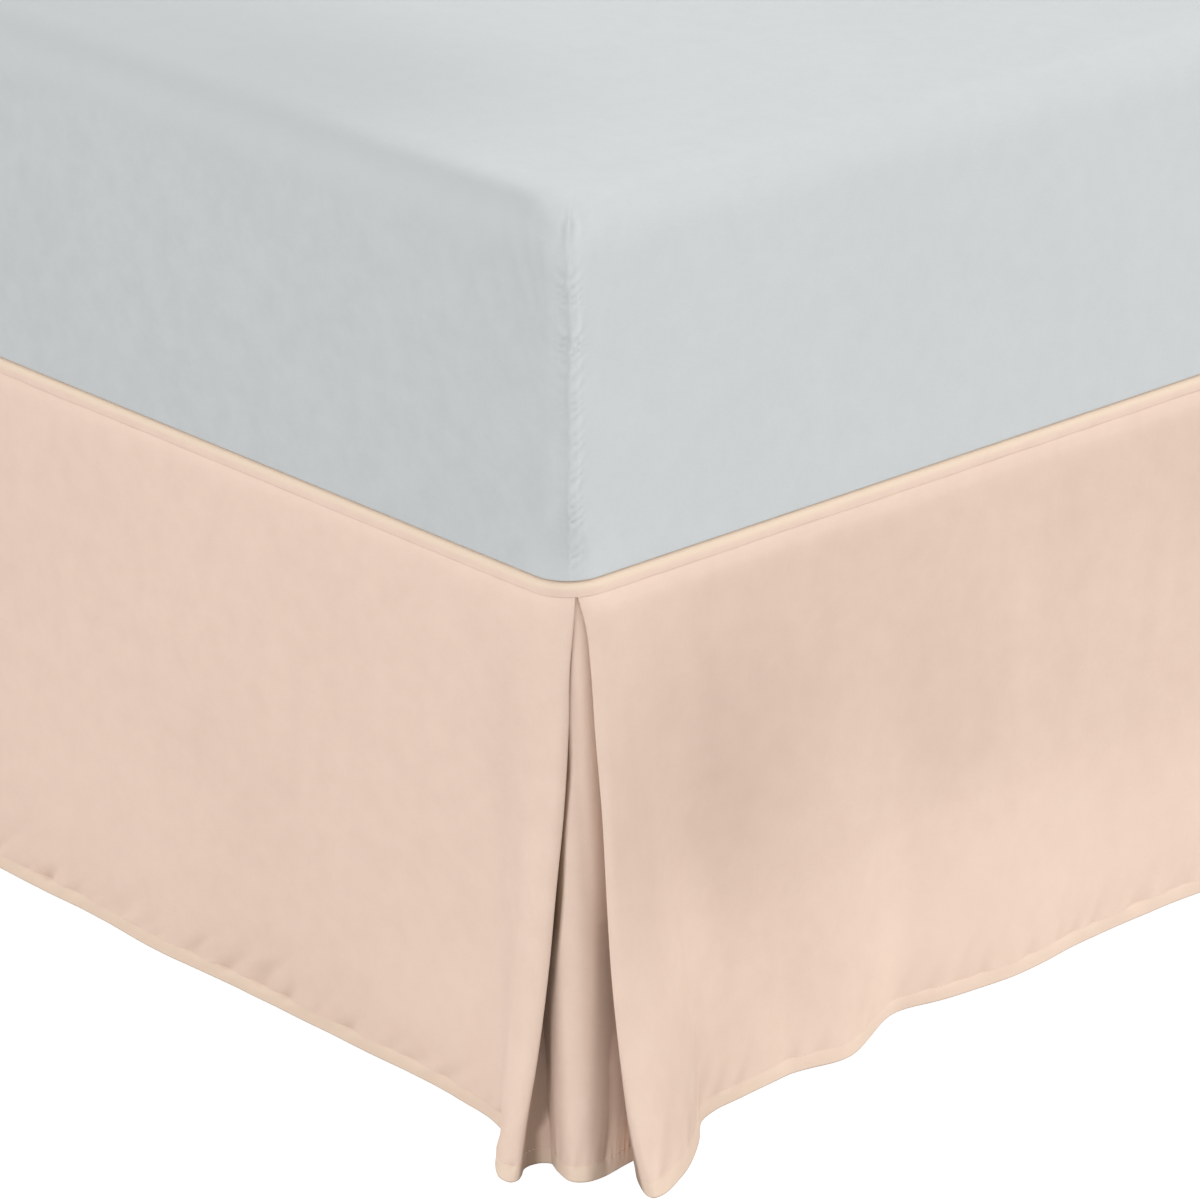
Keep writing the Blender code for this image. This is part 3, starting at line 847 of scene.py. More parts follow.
class Strip:
    """One upright line of a drop's cloth, at a distance from its fold."""

    def __init__(self, cloth, side, panel):
        self.cloth = cloth
        self.side = side
        self.panel = panel
        self.kind = "foot" if panel.startswith("foot") else "side"
        self.flare = CORNER_FLARE[side]
        if self.kind == "foot":
            self.flare += (1 - self.flare) * clamp(cloth / FOOT_MIDDLE)
        rows = HEM_LINE[self.kind]
        mm = cloth / MM
        self.along, self.out, self.early = smooth_row(rows, mm)
        if mm > rows[-1][0]:
            # Past the corner the hem's lead fades, until the drop hangs plumb.
            lead = rows[-1][1] - rows[-1][0]
            plumb = -cloth_to(0, self.kind) / MM
            self.along = mm + lead + (plumb - lead) * smooth_step(mm, 520, 280)
        self.out += (HANG[self.kind] - rows[-1][2]) * clamp(mm / rows[-1][0])
        self.swell = sum(swell * math.exp(-((self.along - at) / width) ** 2)
                         for at, width, swell in FOLDS[panel])
        self.wanders = 1 - smooth_step(cloth / WANDER_REACH)   # along with the fold's edge
        self.face = smooth_step(cloth, -0.001, 0.008)          # and not the return

    def top(self, wander):
        """The cloth's top line, with which way is out from the bed there."""
        set_back = FOLD_SET_BACK[self.kind] + wander * MM
        if abs(self.cloth) < FOLD_RUN:
            turn = self.cloth / FOLD_RADIUS
            run = set_back + FOLD_RADIUS * (1 - math.cos(turn))
            depth = FACE_DEPTH + FOLD_RADIUS * (1 - math.sin(turn))
        else:
            run = set_back + FOLD_RADIUS + abs(self.cloth) - FOLD_RUN
            depth = FACE_DEPTH + (0 if self.cloth > 0 else 2 * FOLD_RADIUS)
        return top_place(self.side, -run if self.kind == "foot" else run, depth)

    def point(self, share, wander):
        """Plan position at a share of the drop's height, and out from the bed."""
        wander = wander[0 if self.kind == "foot" else 1] * self.wanders
        top, outward = self.top(wander)
        along = (self.along + wander) * MM
        opened = opening_share(share, self.early)
        out = (self.out + self.swell * share ** FOLD_RISE / max(opened, 0.001)) * MM
        hem = corner_place(self.side, (-along, -out) if self.kind == "foot" else (out, along))
        return top + (hem - top) * opened * self.flare, outward

    def crease(self, share):
        """How far the soft troughs and ridges push the cloth out, in metres."""
        return MM * self.face * soft_patches(CREASES[self.panel], self.along, share)


def cloth_rows():
    """Levels of a panel's cloth: distance down from the seam, and how far inside."""
    below_seam = (0, 0.4, 0.9, 1.6, 2.6, 4, 6, 9, 13, 18, 24, 31)
    puckered = STITCH_LINE - 0.036
    round_stitches = (-0.9, -0.4, 0, 0.4, 0.9, 2, 4, 6, 8, 9.2)
    rows = [(distance * MM, 0.0) for distance in below_seam]
    rows += [(down, 0.0) for down in spread(0.031, puckered, 0.010)]
    rows += [(puckered + 0.003 * step, 0.0) for step in range(12)]
    rows += [(STITCH_LINE + offset * MM, 0.0) for offset in round_stitches]
    rows += [(DROP - 0.0003, 0.05 * HEM_LAYERS), (DROP, 0.5 * HEM_LAYERS),
             (DROP - 0.0003, 0.95 * HEM_LAYERS)]
    rows += [(DROP - up * MM, HEM_LAYERS) for up in (1.5, 4, 7, 10)]
    return rows


def hem_pucker(along, above, pitch, depth, lean):
    """How far the cloth draws in above the hem's stitching, which gathers it a little."""
    across = along - lean * above
    patch = 0.85 + 0.6 * lumps(along / 0.11, 5.5, pitch * 900)
    wave = lumps(across / pitch, above / 0.045, 1.7)
    fine = lumps(across / (pitch * 0.45), above / 0.02, 8.2)
    fade = math.exp(-above / 0.015) if above > 0 else math.exp(above / 0.003)
    return -depth * max(0.15, patch) * (max(0.0, wave + 0.1) + 0.18 * fine) * fade


def surface_detail(along, down, pitch, depth, lean):
    """Small relief of the cloth: gentle clouding, the hem's bulk, stitches and puckers."""
    above = STITCH_LINE - down
    clouding = 0.0011 * lumps(along / 0.085, down / 0.13, 3.1)
    clouding += 0.0004 * lumps(along / 0.03, down / 0.05, 6.4)
    bulk = 0.00015 * smooth_step((0.0010 - above) / 0.0026)
    bite = -0.00008 * math.exp(-(above / 0.0009) ** 2)
    settled = smooth_step(down / 0.03)
    return clouding * settled + bulk + bite + hem_pucker(along, above, pitch, depth, lean)


def lay_cloth(name, rows, distances, plan_line, relief, tone, tucked=1.0):
    """Make a panel of cloth, and give its points too.

    plan_line(share) is its line in plan, with which way is out; relief, and tone for its
    painted shading, are for a place on that line; tucked is how much of the seam's tuck
    it follows.
    """
    grid = []
    tones = []
    last = len(distances) - 1
    for down, inside in rows:
        share = clamp(down / DROP)
        line = plan_line(share)
        reliefs = [relief(index, down, share) for index in range(last + 1)]
        # Painted shade in small hollows, by how far each lies below the cloth three strips to
        # either side.
        hollows = [(reliefs[max(0, i - 3)][1] + reliefs[min(last, i + 3)][1]) / 2
                   - reliefs[i][1] for i in range(last + 1)]
        tones.append([tone(i, share) + HOLLOW_SHADE * hollows[i] for i in range(last + 1)])
        level = []
        for index, (point, outward) in enumerate(line):
            before = line[max(0, index - 1)][0]
            after = line[min(last, index + 1)][0]
            travel = (after - before).normalized()
            normal = Vector((travel.y, -travel.x))
            tuck = seam_tuck(distances[index], max(0.0, down)) * tucked
            point = point - outward * tuck + normal * (reliefs[index][0] - inside)
            height = SEAM_HEIGHT - UNDER_SEAM - down + CLOTH / 2 * share
            height += seam_wander(distances[index]) * math.exp(-max(0.0, down) / 0.02)
            level.append(Vector((point.x, point.y, height)))
        grid.append(level)
    bm = bmesh.new()
    levels = len(rows) - 1
    bmesh.ops.create_grid(bm, x_segments=last, y_segments=levels, size=1)
    uv = bm.loops.layers.uv.new("cloth")
    tone_layer = bm.verts.layers.float.new("tone")
    cloth_at = {}
    for vert in bm.verts:
        column = round((vert.co.x + 1) / 2 * last)
        row = round((1 - vert.co.y) / 2 * levels)
        down, inside = rows[row]
        vert[tone_layer] = tones[row][column]
        cloth_at[vert.index] = (distances[column],
                                down if inside < HEM_LAYERS / 2 else 2 * DROP - down)
        vert.co = grid[row][column]
    for face in bm.faces:
        for loop in face.loops:
            loop[uv].uv = cloth_at[loop.vert.index]
    piece = piece_from(bm, name, skirt_cloth)
    add_thickness(piece, 0)
    return piece, grid


def strip_places(end):
    """Distances from the fold for a drop's strips, close together round the fold."""
    places = [-RETURN + 0.003 * step for step in range(15)]
    places += [FOLD_RUN * share for share in (-1, -0.75, -0.5, -0.25, 0, 0.25, 0.5, 0.75, 1)]
    places += [0.0026, 0.0038, 0.0055, 0.0075, 0.010]
    while places[-1] < end - 0.004:
        places.append(places[-1] + (NEAR_STEP if places[-1] < NEAR_REACH else FAR_STEP))
    places[-1] = end
    return places


def drop_relief(strips, distances):
    """A drop's relief at a strip: all of it, and the small part whose hollows get painted shade.
    """
    def relief(index, down, share):
        strip = strips[index]
        shoulder = SHOULDER * (1 - math.exp(-max(0.0, down) / SHOULDER_ROLL)) * (1 - share)
        detail = strip.face * surface_detail(distances[index], down, *HEM_PUCKERS[strip.kind])
        return strip.face * shoulder + strip.crease(share) + detail, detail
    return relief


def return_shade(strip, share):
    """Painted shade on the cloth folded back behind a drop, but not where light reaches its end.
    """
    inward = -strip.cloth
    deep = smooth_step(inward, 0.018, 0.014)
    shade = 0.70 + 0.20 * deep * (1 - smooth_step(share, 0.74, 0.1))
    lit_from = 0.037 - 0.007 * smooth_step(share, 0.92, 0.03)
    shade *= 1 - smooth_step(inward, lit_from, 0.009) * smooth_step(share, 0.90, 0.03)
    return shade * smooth_step(inward, SHADE_START[strip.kind], 0.006) * (0.45 + 0.55 * share)


def painted_light_below(along, share):
    """Painted light on the right drop's lower part, away from the pleat, with a little painted
    shade above it.
    """
    edge = 0.55 + 0.05 * lumps(along / 90, share / 0.3, 2.6)
    edge += 0.25 * smooth_step(along, 550, 300) * lumps(along / 260, 5.1, share)
    light = smooth_step(share, edge, 0.33) * smooth_step(along, 150, 150)
    tone = 0.055 * (1 - 0.5 * smooth_step(share, 0.6, 0.2)) - 0.32 * light
    return tone + 0.045 * smooth_step(1 - share / 0.3) * smooth_step(share * DROP / 0.006)


def drop_shade_and_light(strip, share):
    """Painted shading of a drop: painted light under the seam, painted shade and light in
    patches, and painted shade in a pleat.
    """
    if strip.cloth < MM:
        return return_shade(strip, share)
    tone = -0.36 * math.exp(-(share * DROP / 0.0075) ** 1.5)
    tone += soft_patches(PAINTED_SHADE_AND_LIGHT[strip.panel], strip.along, share, 1.5)
    if strip.panel == "right":
        tone += painted_light_below(strip.along, share)
    return tone * smooth_step(strip.cloth / 0.010)


def drop_panel(name, strips, distances, length):
    """Make a drop of its strips, with their distances round the bed. Its flat length is not used.
    """
    def plan_line(share):
        wander = smooth_row(FOLD_WANDER, share)
        return [strip.point(share, wander) for strip in strips]

    def tone(index, share):
        return drop_shade_and_light(strips[index], share)

    piece, grid = lay_cloth("skirt_" + name, [*TUCKED_TOP, *cloth_rows()], distances,
                            plan_line, drop_relief(strips, distances), tone)
    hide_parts(name)
    return grid


FOOT_MIDDLE = cloth_to(HALF_WIDTH, "foot")
SIDE_CLOTH = cloth_to(HEAD_Y - FOOT_Y, "side")
stitch_lines = []
places = strip_places(FOOT_MIDDLE)
foot_strips = [Strip(cloth, "left", "foot_left") for cloth in places]
foot_strips += [Strip(cloth, "right", "foot_right") for cloth in reversed(places[:-1])]
foot_distances = [cloth - FOOT_MIDDLE for cloth in places]
foot_distances += [FOOT_MIDDLE - cloth for cloth in reversed(places[:-1])]
stitch_lines.append(drop_panel("drop_foot", foot_strips, foot_distances,
                               foot_distances[-1] - foot_distances[0]))
places = strip_places(SIDE_CLOTH)
right_strips = [Strip(cloth, "right", "right") for cloth in places]
stitch_lines.append(drop_panel("drop_side_right", right_strips, places, places[-1] - places[0]))
left_strips = [Strip(cloth, "left", "left") for cloth in reversed(places)]
left_distances = [-cloth - LEFT_AWAY for cloth in reversed(places)]
stitch_lines.append(drop_panel("drop_side_left", left_strips, left_distances,
                               places[-1] - places[0]))


# ---- Bed skirt: pleat inserts ----------------------------------------------------
# The cloth that shows in the opened pleat at each foot corner: a separate strip
# behind the two folded edges, sewn to their inner ends and hemmed like them.

INSERT_DEPTH = 0.0036
INSERT_TUCK = 0.0065
INSERT_AWAY = 5.0            # keeps its small relief from being the drops'
# Its hem line in plan, in millimetres from the bed's sharp corner.
#     cloth  right  back
INSERT_HEM = (
    (-54, -17, -13),
    (-44, -7, -15.5),
    (-34, 4, -17),
    (-20, 17, -22),
    (-8, 31, -24),
    (2, 38, -17),
    (12, 40, -7),
    (24, 39, 4),
    (36, 37.5, 13),
    (46, 36.4, 22),
    (54, 35.5, 32),
)
# Where the shade behind the foot's flap ends on it, in the same millimetres of cloth.
#     share  edge
INSERT_SHADE_EDGE = (
    (0.00, 5.0),
    (0.05, 5.2),
    (0.12, 3.0),
    (0.19, 1.2),
    (0.30, 1.2),
    (0.40, -2.7),
    (0.54, -7.3),
    (0.64, -13.4),
    (0.71, -19.2),
    (0.78, -23.0),
    (0.85, -25.3),
    (0.92, -31.0),
    (1.00, -33.0),
)


def insert_tone(across, share):
    """Painted shade and light on an insert, at millimetres of cloth from its middle, towards the
    side.
    """
    # Painted shade behind the foot's flap, and less of it where the pleat opens near the floor.
    edge = smooth_row(INSERT_SHADE_EDGE, share)[0]
    soft = 2.5 + 2.5 * smooth_step(share, 0.5, 0.25) + 14 * smooth_step(share, 0.88, 0.1)
    behind = 1 - smooth_step(across, edge - soft / 2, soft)
    behind *= 1 - 0.34 * smooth_step(share, 0.56, 0.08)
    behind *= 1 - 0.6 * smooth_step(share, 0.82, 0.08) - 0.4 * smooth_step(share, 0.9, 0.05)

    # A weaker shade beside the side's flap, in the lower half.
    lower = max(0.0, share - 0.85)
    beside = (0.25 + 0.9 * lower) * smooth_step(share, 0.50, 0.14)
    beside *= smooth_step(across, 4 + 31 * (0.85 - share), 9)
    beside *= 1 - smooth_step(across, 25 - 80 * lower, 9)

    # Light that the side's flap throws back on it low down, and that falls on it high up.
    bounce_from = 29 - 7 * smooth_step(share, 0.74, 0.08) - 40 * lower
    bounce = smooth_step(across, bounce_from, 7) * smooth_step(share, 0.7, 0.1)
    lift_from = 3 - 40 * max(0.0, 0.2 - share) + 20 * max(0.0, share - 0.3)
    lift = smooth_step(across, lift_from, 8) * (1 - smooth_step(share, 0.48, 0.10))
    return behind + (1 - behind) * (beside - bounce - lift)


def pleat_insert(side):
    end = -INSERT_HEM[0][0] * MM
    places = [-end, *spread(-end, end, 0.0015), end]
    if side == "left":
        places.reverse()
    hem = [[value * MM for value in smooth_row(INSERT_HEM, place / MM)] for place in places]
    distances = [place * (1 if side == "right" else -1) + INSERT_AWAY for place in places]

    def plan_line(share):
        out = opening_share(share, 0.0) * CORNER_FLARE[side]
        line = []
        for place, hem_point in zip(places, hem):
            top, outward = top_place(side, place, INSERT_DEPTH)
            low = corner_place(side, hem_point)
            line.append((top + (low - top) * out, outward))
        return line

    def relief(index, down, share):
        detail = surface_detail(distances[index], down, *HEM_PUCKERS["insert"])
        detail *= smooth_step(down / 0.1)
        return detail, detail

    def tone(index, share):
        return insert_tone(places[index] / MM, share)

    rows = [(-INSERT_TUCK, 0.0), (-INSERT_TUCK / 2, 0.0), *cloth_rows()]
    name = f"pleat_insert_{side}"
    piece, grid = lay_cloth("skirt_" + name, rows, distances, plan_line, relief, tone,
                            tucked=0.0)
    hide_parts(name)
    return grid


stitch_lines += [pleat_insert("right"), pleat_insert("left")]


# ---- Bed skirt: hem stitches -----------------------------------------------------
# A row of lockstitch in matching thread holds every hem, 10 mm above its edge. Each
# stitch is drawn a little into the cloth.

STITCH_PITCH = 0.0034
STITCH = (0.00125, 0.00020, 0.00020)   # half its length, width and height

thread, place = new_material("peach_thread", Sheen_Weight=0.2, Roughness=0.6)
strands = place.stretched((1.0, 1.0, 3.0)).grain(0.0005)
into_shader(thread, Base_Color=strands.between(srgb(220, 194, 177), srgb(230, 205, 188)),
            Normal=strands.bump(0.00008))


def add_stitches(bm, line):
    """Lay stitches along a line of points, a pitch apart, on the cloth's outer side."""
    walked = 0.0
    following = STITCH_PITCH / 2
    for first, second in zip(line, line[1:]):
        step = second - first
        length = step.length
        while following <= walked + length:
            point = first + step * ((following - walked) / length)
            travel = step.normalized()
            outward = Vector((travel.y, -travel.x, 0)).normalized()
            turn = Matrix((travel, travel.cross(outward), outward)).transposed().to_4x4()
            place = Matrix.Translation(point + outward * CLOTH / 2)
            bmesh.ops.create_icosphere(bm, subdivisions=1, radius=1,
                                       matrix=place @ turn @ Matrix.Diagonal((*STITCH, 1)))
            following += STITCH_PITCH
        walked += length


stitches = bmesh.new()
for grid in stitch_lines:
    line = min(grid, key=lambda points: abs(points[0].z - (SEAM_HEIGHT - STITCH_LINE)))
    add_stitches(stitches, line)
piece_from(stitches, "hem_stitches", thread)


# ---- Mattress in its fitted sheet ------------------------------------------------
# A sprung mattress under a grey-blue fitted sheet, drawn tight with elastic tucked
# beneath it. Each corner of the sheet is a seam from the top's edge down to the
# tuck, and from it the cloth is puckered a little and dragged in soft lines.

SHEET_DARK = (197, 201, 202)
SHEET_LIGHT = (203, 207, 208)
# Tones for painted shade and painted light on the sheet.
SHEET_SHADE = (168, 172, 173)
SHEET_SHINE = (222, 226, 227)
SHEET_THREAD = 0.0005
TOP_ROUND = 0.036
TOP_SQUARENESS = 2.6         # 2 is a quarter circle
FOOT_ROUND = 0.0012
UPRIGHT_ROUND = 0.009
LOW_SOFTENING = 0.018        # added to an upright corner's radius at its foot
TOP_SOFTENING = 0.031        # and at its top
SIDE_BULGE = 0.0014
TOP_ROLL = 0.0013
SEAM_STRIP = 0.0045          # the turnings of a corner seam, under the sheet
SEAM_RISE = 0.0006
SEAM_REACH = 0.25            # beyond this the sheet shows nothing of its corner seam
PUCKER_PITCH = 0.0072
PUCKER_DEPTH = 0.0008
DRAG_SHADE = 150             # painted shade per metre of a drag line's depth
ARC_SAVING = 0.2146          # 1 - pi / 4: half an arc is shorter than its corner by this

mattress_low, mattress_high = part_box("mattress")
TALL = mattress_high.z - mattress_low.z
LEVEL_TILT = 1.57            # from here on the surface lies flat, and has no relief
# Soft drag lines beside a corner seam, in metres: how far from the seam and below the
# top each starts, its length, its direction in degrees (90 is down), depth and width.
DRAG_LINES = (
    (0.052, 0.012, 0.080, 112, 0.0008, 0.0045),
    (0.036, 0.010, 0.070, 107, 0.0010, 0.0040),
    (0.074, 0.020, 0.085, 118, 0.0006, 0.0070),
    (0.022, 0.014, 0.060, 100, 0.0008, 0.0035),
    (0.044, 0.050, 0.060, 109, 0.0006, 0.0040),
    (0.098, 0.030, 0.090, 122, 0.0005, 0.0100),
)


def sheeting():
    material, place = new_material("grey_blue_sheeting", Sheen_Weight=0.12,
                                   Sheen_Roughness=0.5, Specular_IOR_Level=0.2)
    x, y, up = place.axes()
    weave = (x + y).wave(SHEET_THREAD) * (up + 0.5 * (x - y)).wave(SHEET_THREAD)
    slubs = place.stretched((1.0, 1.0, 7.0)).grain(0.006, 3.0, 0.6)
    fine = place.grain(0.0016, 3.0, 0.6)
    cloud = place.grain(0.14)
    mottle = place.grain(0.018, 4.0, 0.6)
    # The tone attribute gives painted shade above 0 and painted light below it.
    sheet_light_and_shade = place.node("ShaderNodeAttribute", {"attribute_name": "tone"}, output="Fac")
    tone = 0.5 + 0.5 * (cloud - 0.5) + 0.6 * (slubs - 0.5) + 0.45 * (fine - 0.5)
    # The mottle is stronger on the ends' painted shade, but not within 50 mm of the top.
    on_end = sheet_light_and_shade.step(0.05, 0.18) * (1 - up.step(mattress_high.z - 0.05, mattress_high.z - 0.02))
    tone += (1.0 + 1.5 * on_end) * (mottle - 0.5)
    height = 0.15 * weave + 0.5 * slubs + 0.35 * fine
    plain = sheet_light_and_shade.nap_and_shading(tone.between(srgb(*SHEET_DARK), srgb(*SHEET_LIGHT)),
                    srgb(*SHEET_SHADE), srgb(*SHEET_SHINE))
    return into_shader(material, Base_Color=plain, Roughness=0.84 + 0.1 * fine,
                       Normal=height.bump(0.00014))


def mattress_corner(height):
    """Radius of an upright corner, tight at mid height and softer at both ends."""
    top_part = TOP_ROUND + 0.010
    rounding = max(0.0, height - (TALL - top_part)) / top_part
    return (UPRIGHT_ROUND + LOW_SOFTENING * (1 - smooth_step(height / TALL / 0.25))
            + TOP_SOFTENING * rounding ** 2)


def mattress_rows():
    """Levels of the mattress's side: height, how far inside, and tilt of the surface."""
    rows = []
    for step in range(4):
        turn = step / 4 * math.pi / 2
        rows.append((FOOT_ROUND * (1 - math.cos(turn)), FOOT_ROUND * (1 - math.sin(turn)),
                     turn - math.pi / 2))
    rows += [(height, 0.0, 0.0) for height in
             (FOOT_ROUND, *spread(FOOT_ROUND, TALL - TOP_ROUND, 0.0020), TALL - TOP_ROUND)]
    for step in range(1, 13):
        turn = step / 12 * math.pi / 2
        out, up = max(0.0, math.cos(turn)), math.sin(turn)
        full = (out ** TOP_SQUARENESS + up ** TOP_SQUARENESS) ** (-1 / TOP_SQUARENESS)
        rows.append((TALL - TOP_ROUND * (1 - up * full), TOP_ROUND * (1 - out * full),
                     math.atan2(up ** (TOP_SQUARENESS - 1), out ** (TOP_SQUARENESS - 1))))
    return rows


def mattress_columns():
    """Upright lines round the mattress: which corner, and how far round from its seam.

    They are close together at a seam, and wider apart away from it.
    """
    fine = [0.0006 * step for step in range(1, 10)]
    while fine[-1] < 0.030:
        fine.append(fine[-1] + 0.0012)
    while fine[-1] < 0.100:
        fine.append(fine[-1] + 0.0045)
    columns = []
    for corner_x, corner_y, turn in ((1, -1, 1), (1, 1, -1), (-1, 1, 1), (-1, -1, -1)):
        half_end, half_side = [high - ARC_SAVING * TOP_ROUND for high in mattress_high[:2]]
        along_end = [-place for place in (*fine, *spread(fine[-1], half_end, 0.06), half_end)]
        along_side = [*fine, *spread(fine[-1], half_side, 0.06), half_side]
        runs = [*reversed(along_end), 0.0, *along_side]
        columns += [(corner_x, corner_y, run) for run in runs[::turn][:-1]]
    columns.append(columns[0])
    return columns


def drag(along, below):
    """Soft hollows in the sheet beside a corner seam."""
    depth = 0.0
    for start, down, length, angle, deep, width in DRAG_LINES:
        turn = math.radians(angle)
        step = (along - start, below - down)
        ahead = step[0] * math.cos(turn) + step[1] * math.sin(turn)
        beside = -step[0] * math.sin(turn) + step[1] * math.cos(turn)
        depth += deep * math.exp(-(beside / width) ** 2
                                 - ((ahead - length / 2) / (0.5 * length)) ** 2)
    return depth


def top_roll(x, y):
    return TOP_ROLL * lumps(x / 0.35, y / 0.35, 2.0)


def sheet_swell(corner, run, height, tilt, place):
    """How far the sheet stands out by its own swell, and its gathers at the tuck."""
    share = height / TALL
    upright = math.cos(tilt)
    settled = upright * smooth_step(share / 0.1)
    rise = SIDE_BULGE * upright * math.sin(math.pi * share) ** 0.8
    rise += (0.0012 * noise.noise(place / 0.12) + 0.0005 * noise.noise(place / 0.045)) * settled
    rise += top_roll(place.x, place.y) * max(0.0, math.sin(tilt)) ** 2
    gather = lumps(run / 0.014, corner, height / 0.05) * smooth_step(share / 0.03)
    return rise + 0.0007 * upright * gather * smooth_step(1 - share / 0.2)


def seam_run(corner, below):
    """Where the corner seam lies, along the sheet from the corner's middle."""
    return (0.0022 + 0.0020 * lumps(below / 0.05, corner, 7.0)
            + 0.0012 * lumps(below / 0.007, corner, 3.0))


def seam_relief(corner, run, height, tilt):
    """How far the sheet stands out at a corner seam, and the seam's painted shade and light."""
    below = TALL - height
    length = smooth_step(height / TALL / 0.06) * smooth_step(below, 0.002, 0.015)
    from_seam = run - seam_run(corner, below)
    strip = smooth_step(from_seam, -0.0006, 0.0010) - smooth_step(from_seam, SEAM_STRIP, 0.0022)

    # The stitching draws up small puckers on both sides, fewer low on the end.
    jog = 1.1 * lumps(below / 0.017, corner, 9.0)
    wave = math.cos(2 * math.pi * ((below + 0.7 * abs(from_seam)) / PUCKER_PITCH + jog))
    patch = max(0.15, 0.6 + 0.9 * lumps(below / 0.018, corner, 4.0))
    right = smooth_step(from_seam / 0.002) * smooth_step(1 - (from_seam - 0.003) / 0.011)
    left = smooth_step(-from_seam / 0.002) * smooth_step(1 + from_seam / 0.012)
    left *= 0.30 + 0.70 * smooth_step((0.13 - below) / 0.06)
    pucker = length * patch * wave * (right + left)

    pulled = (1.0 if run < 0 else 0.2) * math.cos(tilt) * drag(abs(run), below)
    pulled *= smooth_step(abs(run) / 0.015)
    # A painted shade line beside the seam on the end, and a painted light line beside it on the
    # side, broken up at the puckers.
    stitching = math.exp(-((from_seam + 0.0012) / 0.0010) ** 2)
    stitching -= math.exp(-((from_seam - 0.0012) / 0.0012) ** 2)
    stitching *= length * patch * (0.5 + 0.6 * wave)
    # Painted shade in the puckers' hollows and the drag lines, painted light on the puckers'
    # ridges and the seam's strip.
    shade = 0.20 * stitching - 0.26 * pucker - 0.03 * strip + DRAG_SHADE * pulled
    return SEAM_RISE * length * strip + PUCKER_DEPTH * pucker - pulled, shade


def top_painted_shade(x, y):
    """Painted shade on the top, towards the middle of the foot."""
    return (0.42 * smooth_step((0.28 - mattress_high.y - y) / 0.2)
            * smooth_step((mattress_high.x - abs(x) - 0.06) / 0.25))


def sheet_painted_shade(corner, run, height, tilt, place):
    """Painted shade on the sheet: darker ends than sides, and painted light low at each corner.
    """
    below = TALL - height
    from_seam = run - seam_run(corner, below)
    # The ends take painted shade up to the seam, but not at the top of the corner.
    on_end = 1 - smooth_step(from_seam, -0.0004, 0.0008)
    on_end *= smooth_step((abs(run) / 0.050 + (below + 0.001) / 0.015 - 0.7) / 0.6)
    turned = smooth_step(tilt, 1.0, 0.45)
    # Painted shade on an end, more over its roll onto the top, less beside the seam.
    end_tone = 0.21 + 0.25 * smooth_step(tilt) - 0.12 * math.exp(-(from_seam / 0.010) ** 2)
    # Painted shade on a side's roll onto the top, and painted light beside the seam.
    side_tone = 0.10 * max(0.0, math.sin(2 * tilt))
    side_tone -= 0.03 * math.exp(-(from_seam / 0.013) ** 2)
    tone = side_tone + (end_tone - side_tone) * on_end
    # Painted light low down at each corner.
    tone -= 0.28 * smooth_step(1 - height / 0.035) * math.exp(-(run / 0.03) ** 2)
    # Over the roll it turns into the top's painted shade.
    return tone + (top_painted_shade(place.x, place.y) - tone) * turned


def mattress_place(corner_x, corner_y, run, row):
    """A point on the mattress's side, with the sheet's relief, and the sheet's painted shade and
    light.
    """
    height, depth, tilt = row
    radius = mattress_corner(height)
    straight = abs(run) - radius * math.pi / 4
    if straight > 0:
        settle = smooth_step(straight / 0.08)
        far = abs(run) + ARC_SAVING * (radius + (TOP_ROUND - radius) * settle)
        from_side, from_end = (depth, far) if run > 0 else (far, depth)
        outward = Vector((1, 0)) if run > 0 else Vector((0, 1))
    else:
        angle = math.pi / 4 + run / radius
        from_side = radius - (radius - depth) * math.sin(angle)
        from_end = radius - (radius - depth) * math.cos(angle)
        outward = Vector((math.sin(angle), math.cos(angle)))
    place = Vector((corner_x * (mattress_high.x - from_side),
                    corner_y * (mattress_high.y - from_end), mattress_low.z + height))
    normal = Vector((corner_x * outward.x * math.cos(tilt), corner_y * outward.y * math.cos(tilt),
                     math.sin(tilt)))
    if abs(tilt) > LEVEL_TILT:
        return place, 0.0
    corner = 2 * corner_x + corner_y
    rise = sheet_swell(corner, run, height, tilt, place)
    tone = sheet_painted_shade(corner, run, height, tilt, place)
    if abs(run) <= SEAM_REACH:
        seam_rise, seam_shade = seam_relief(corner, run, height, tilt)
        rise += seam_rise
        tone += seam_shade
    return place + normal * rise, tone


mattress = bmesh.new()
columns = mattress_columns()
rows = mattress_rows()
bmesh.ops.create_grid(mattress, x_segments=len(columns) - 1, y_segments=len(rows) - 1, size=1)
tone_layer = mattress.verts.layers.float.new("tone")
for vert in mattress.verts:
    column = columns[round((vert.co.x + 1) / 2 * (len(columns) - 1))]
    row = rows[round((vert.co.y + 1) / 2 * (len(rows) - 1))]
    vert.co, vert[tone_layer] = mattress_place(*column, row)
bmesh.ops.remove_doubles(mattress, verts=mattress.verts, dist=0.00002)
bmesh.ops.holes_fill(mattress, edges=[e for e in mattress.edges if e.is_boundary], sides=0)
bmesh.ops.recalc_face_normals(mattress, faces=mattress.faces)


def on_top(vert):
    return abs(vert.co.z - mattress_high.z) < 0.1 * MM


for axis in (0, 1):
    reach = mattress_high[axis] - TOP_ROUND - 0.008
    cut_across(mattress, axis, (-reach, *spread(-reach, reach, PANEL_CUT), reach),
               lambda face: all(on_top(vert) for vert in face.verts))
for vert in mattress.verts:
    if on_top(vert):
        vert[tone_layer] = top_painted_shade(vert.co.x, vert.co.y)
        vert.co.z += top_roll(vert.co.x, vert.co.y)
mattress_piece = piece_from(mattress, "mattress_in_fitted_sheet", sheeting())
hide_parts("mattress")


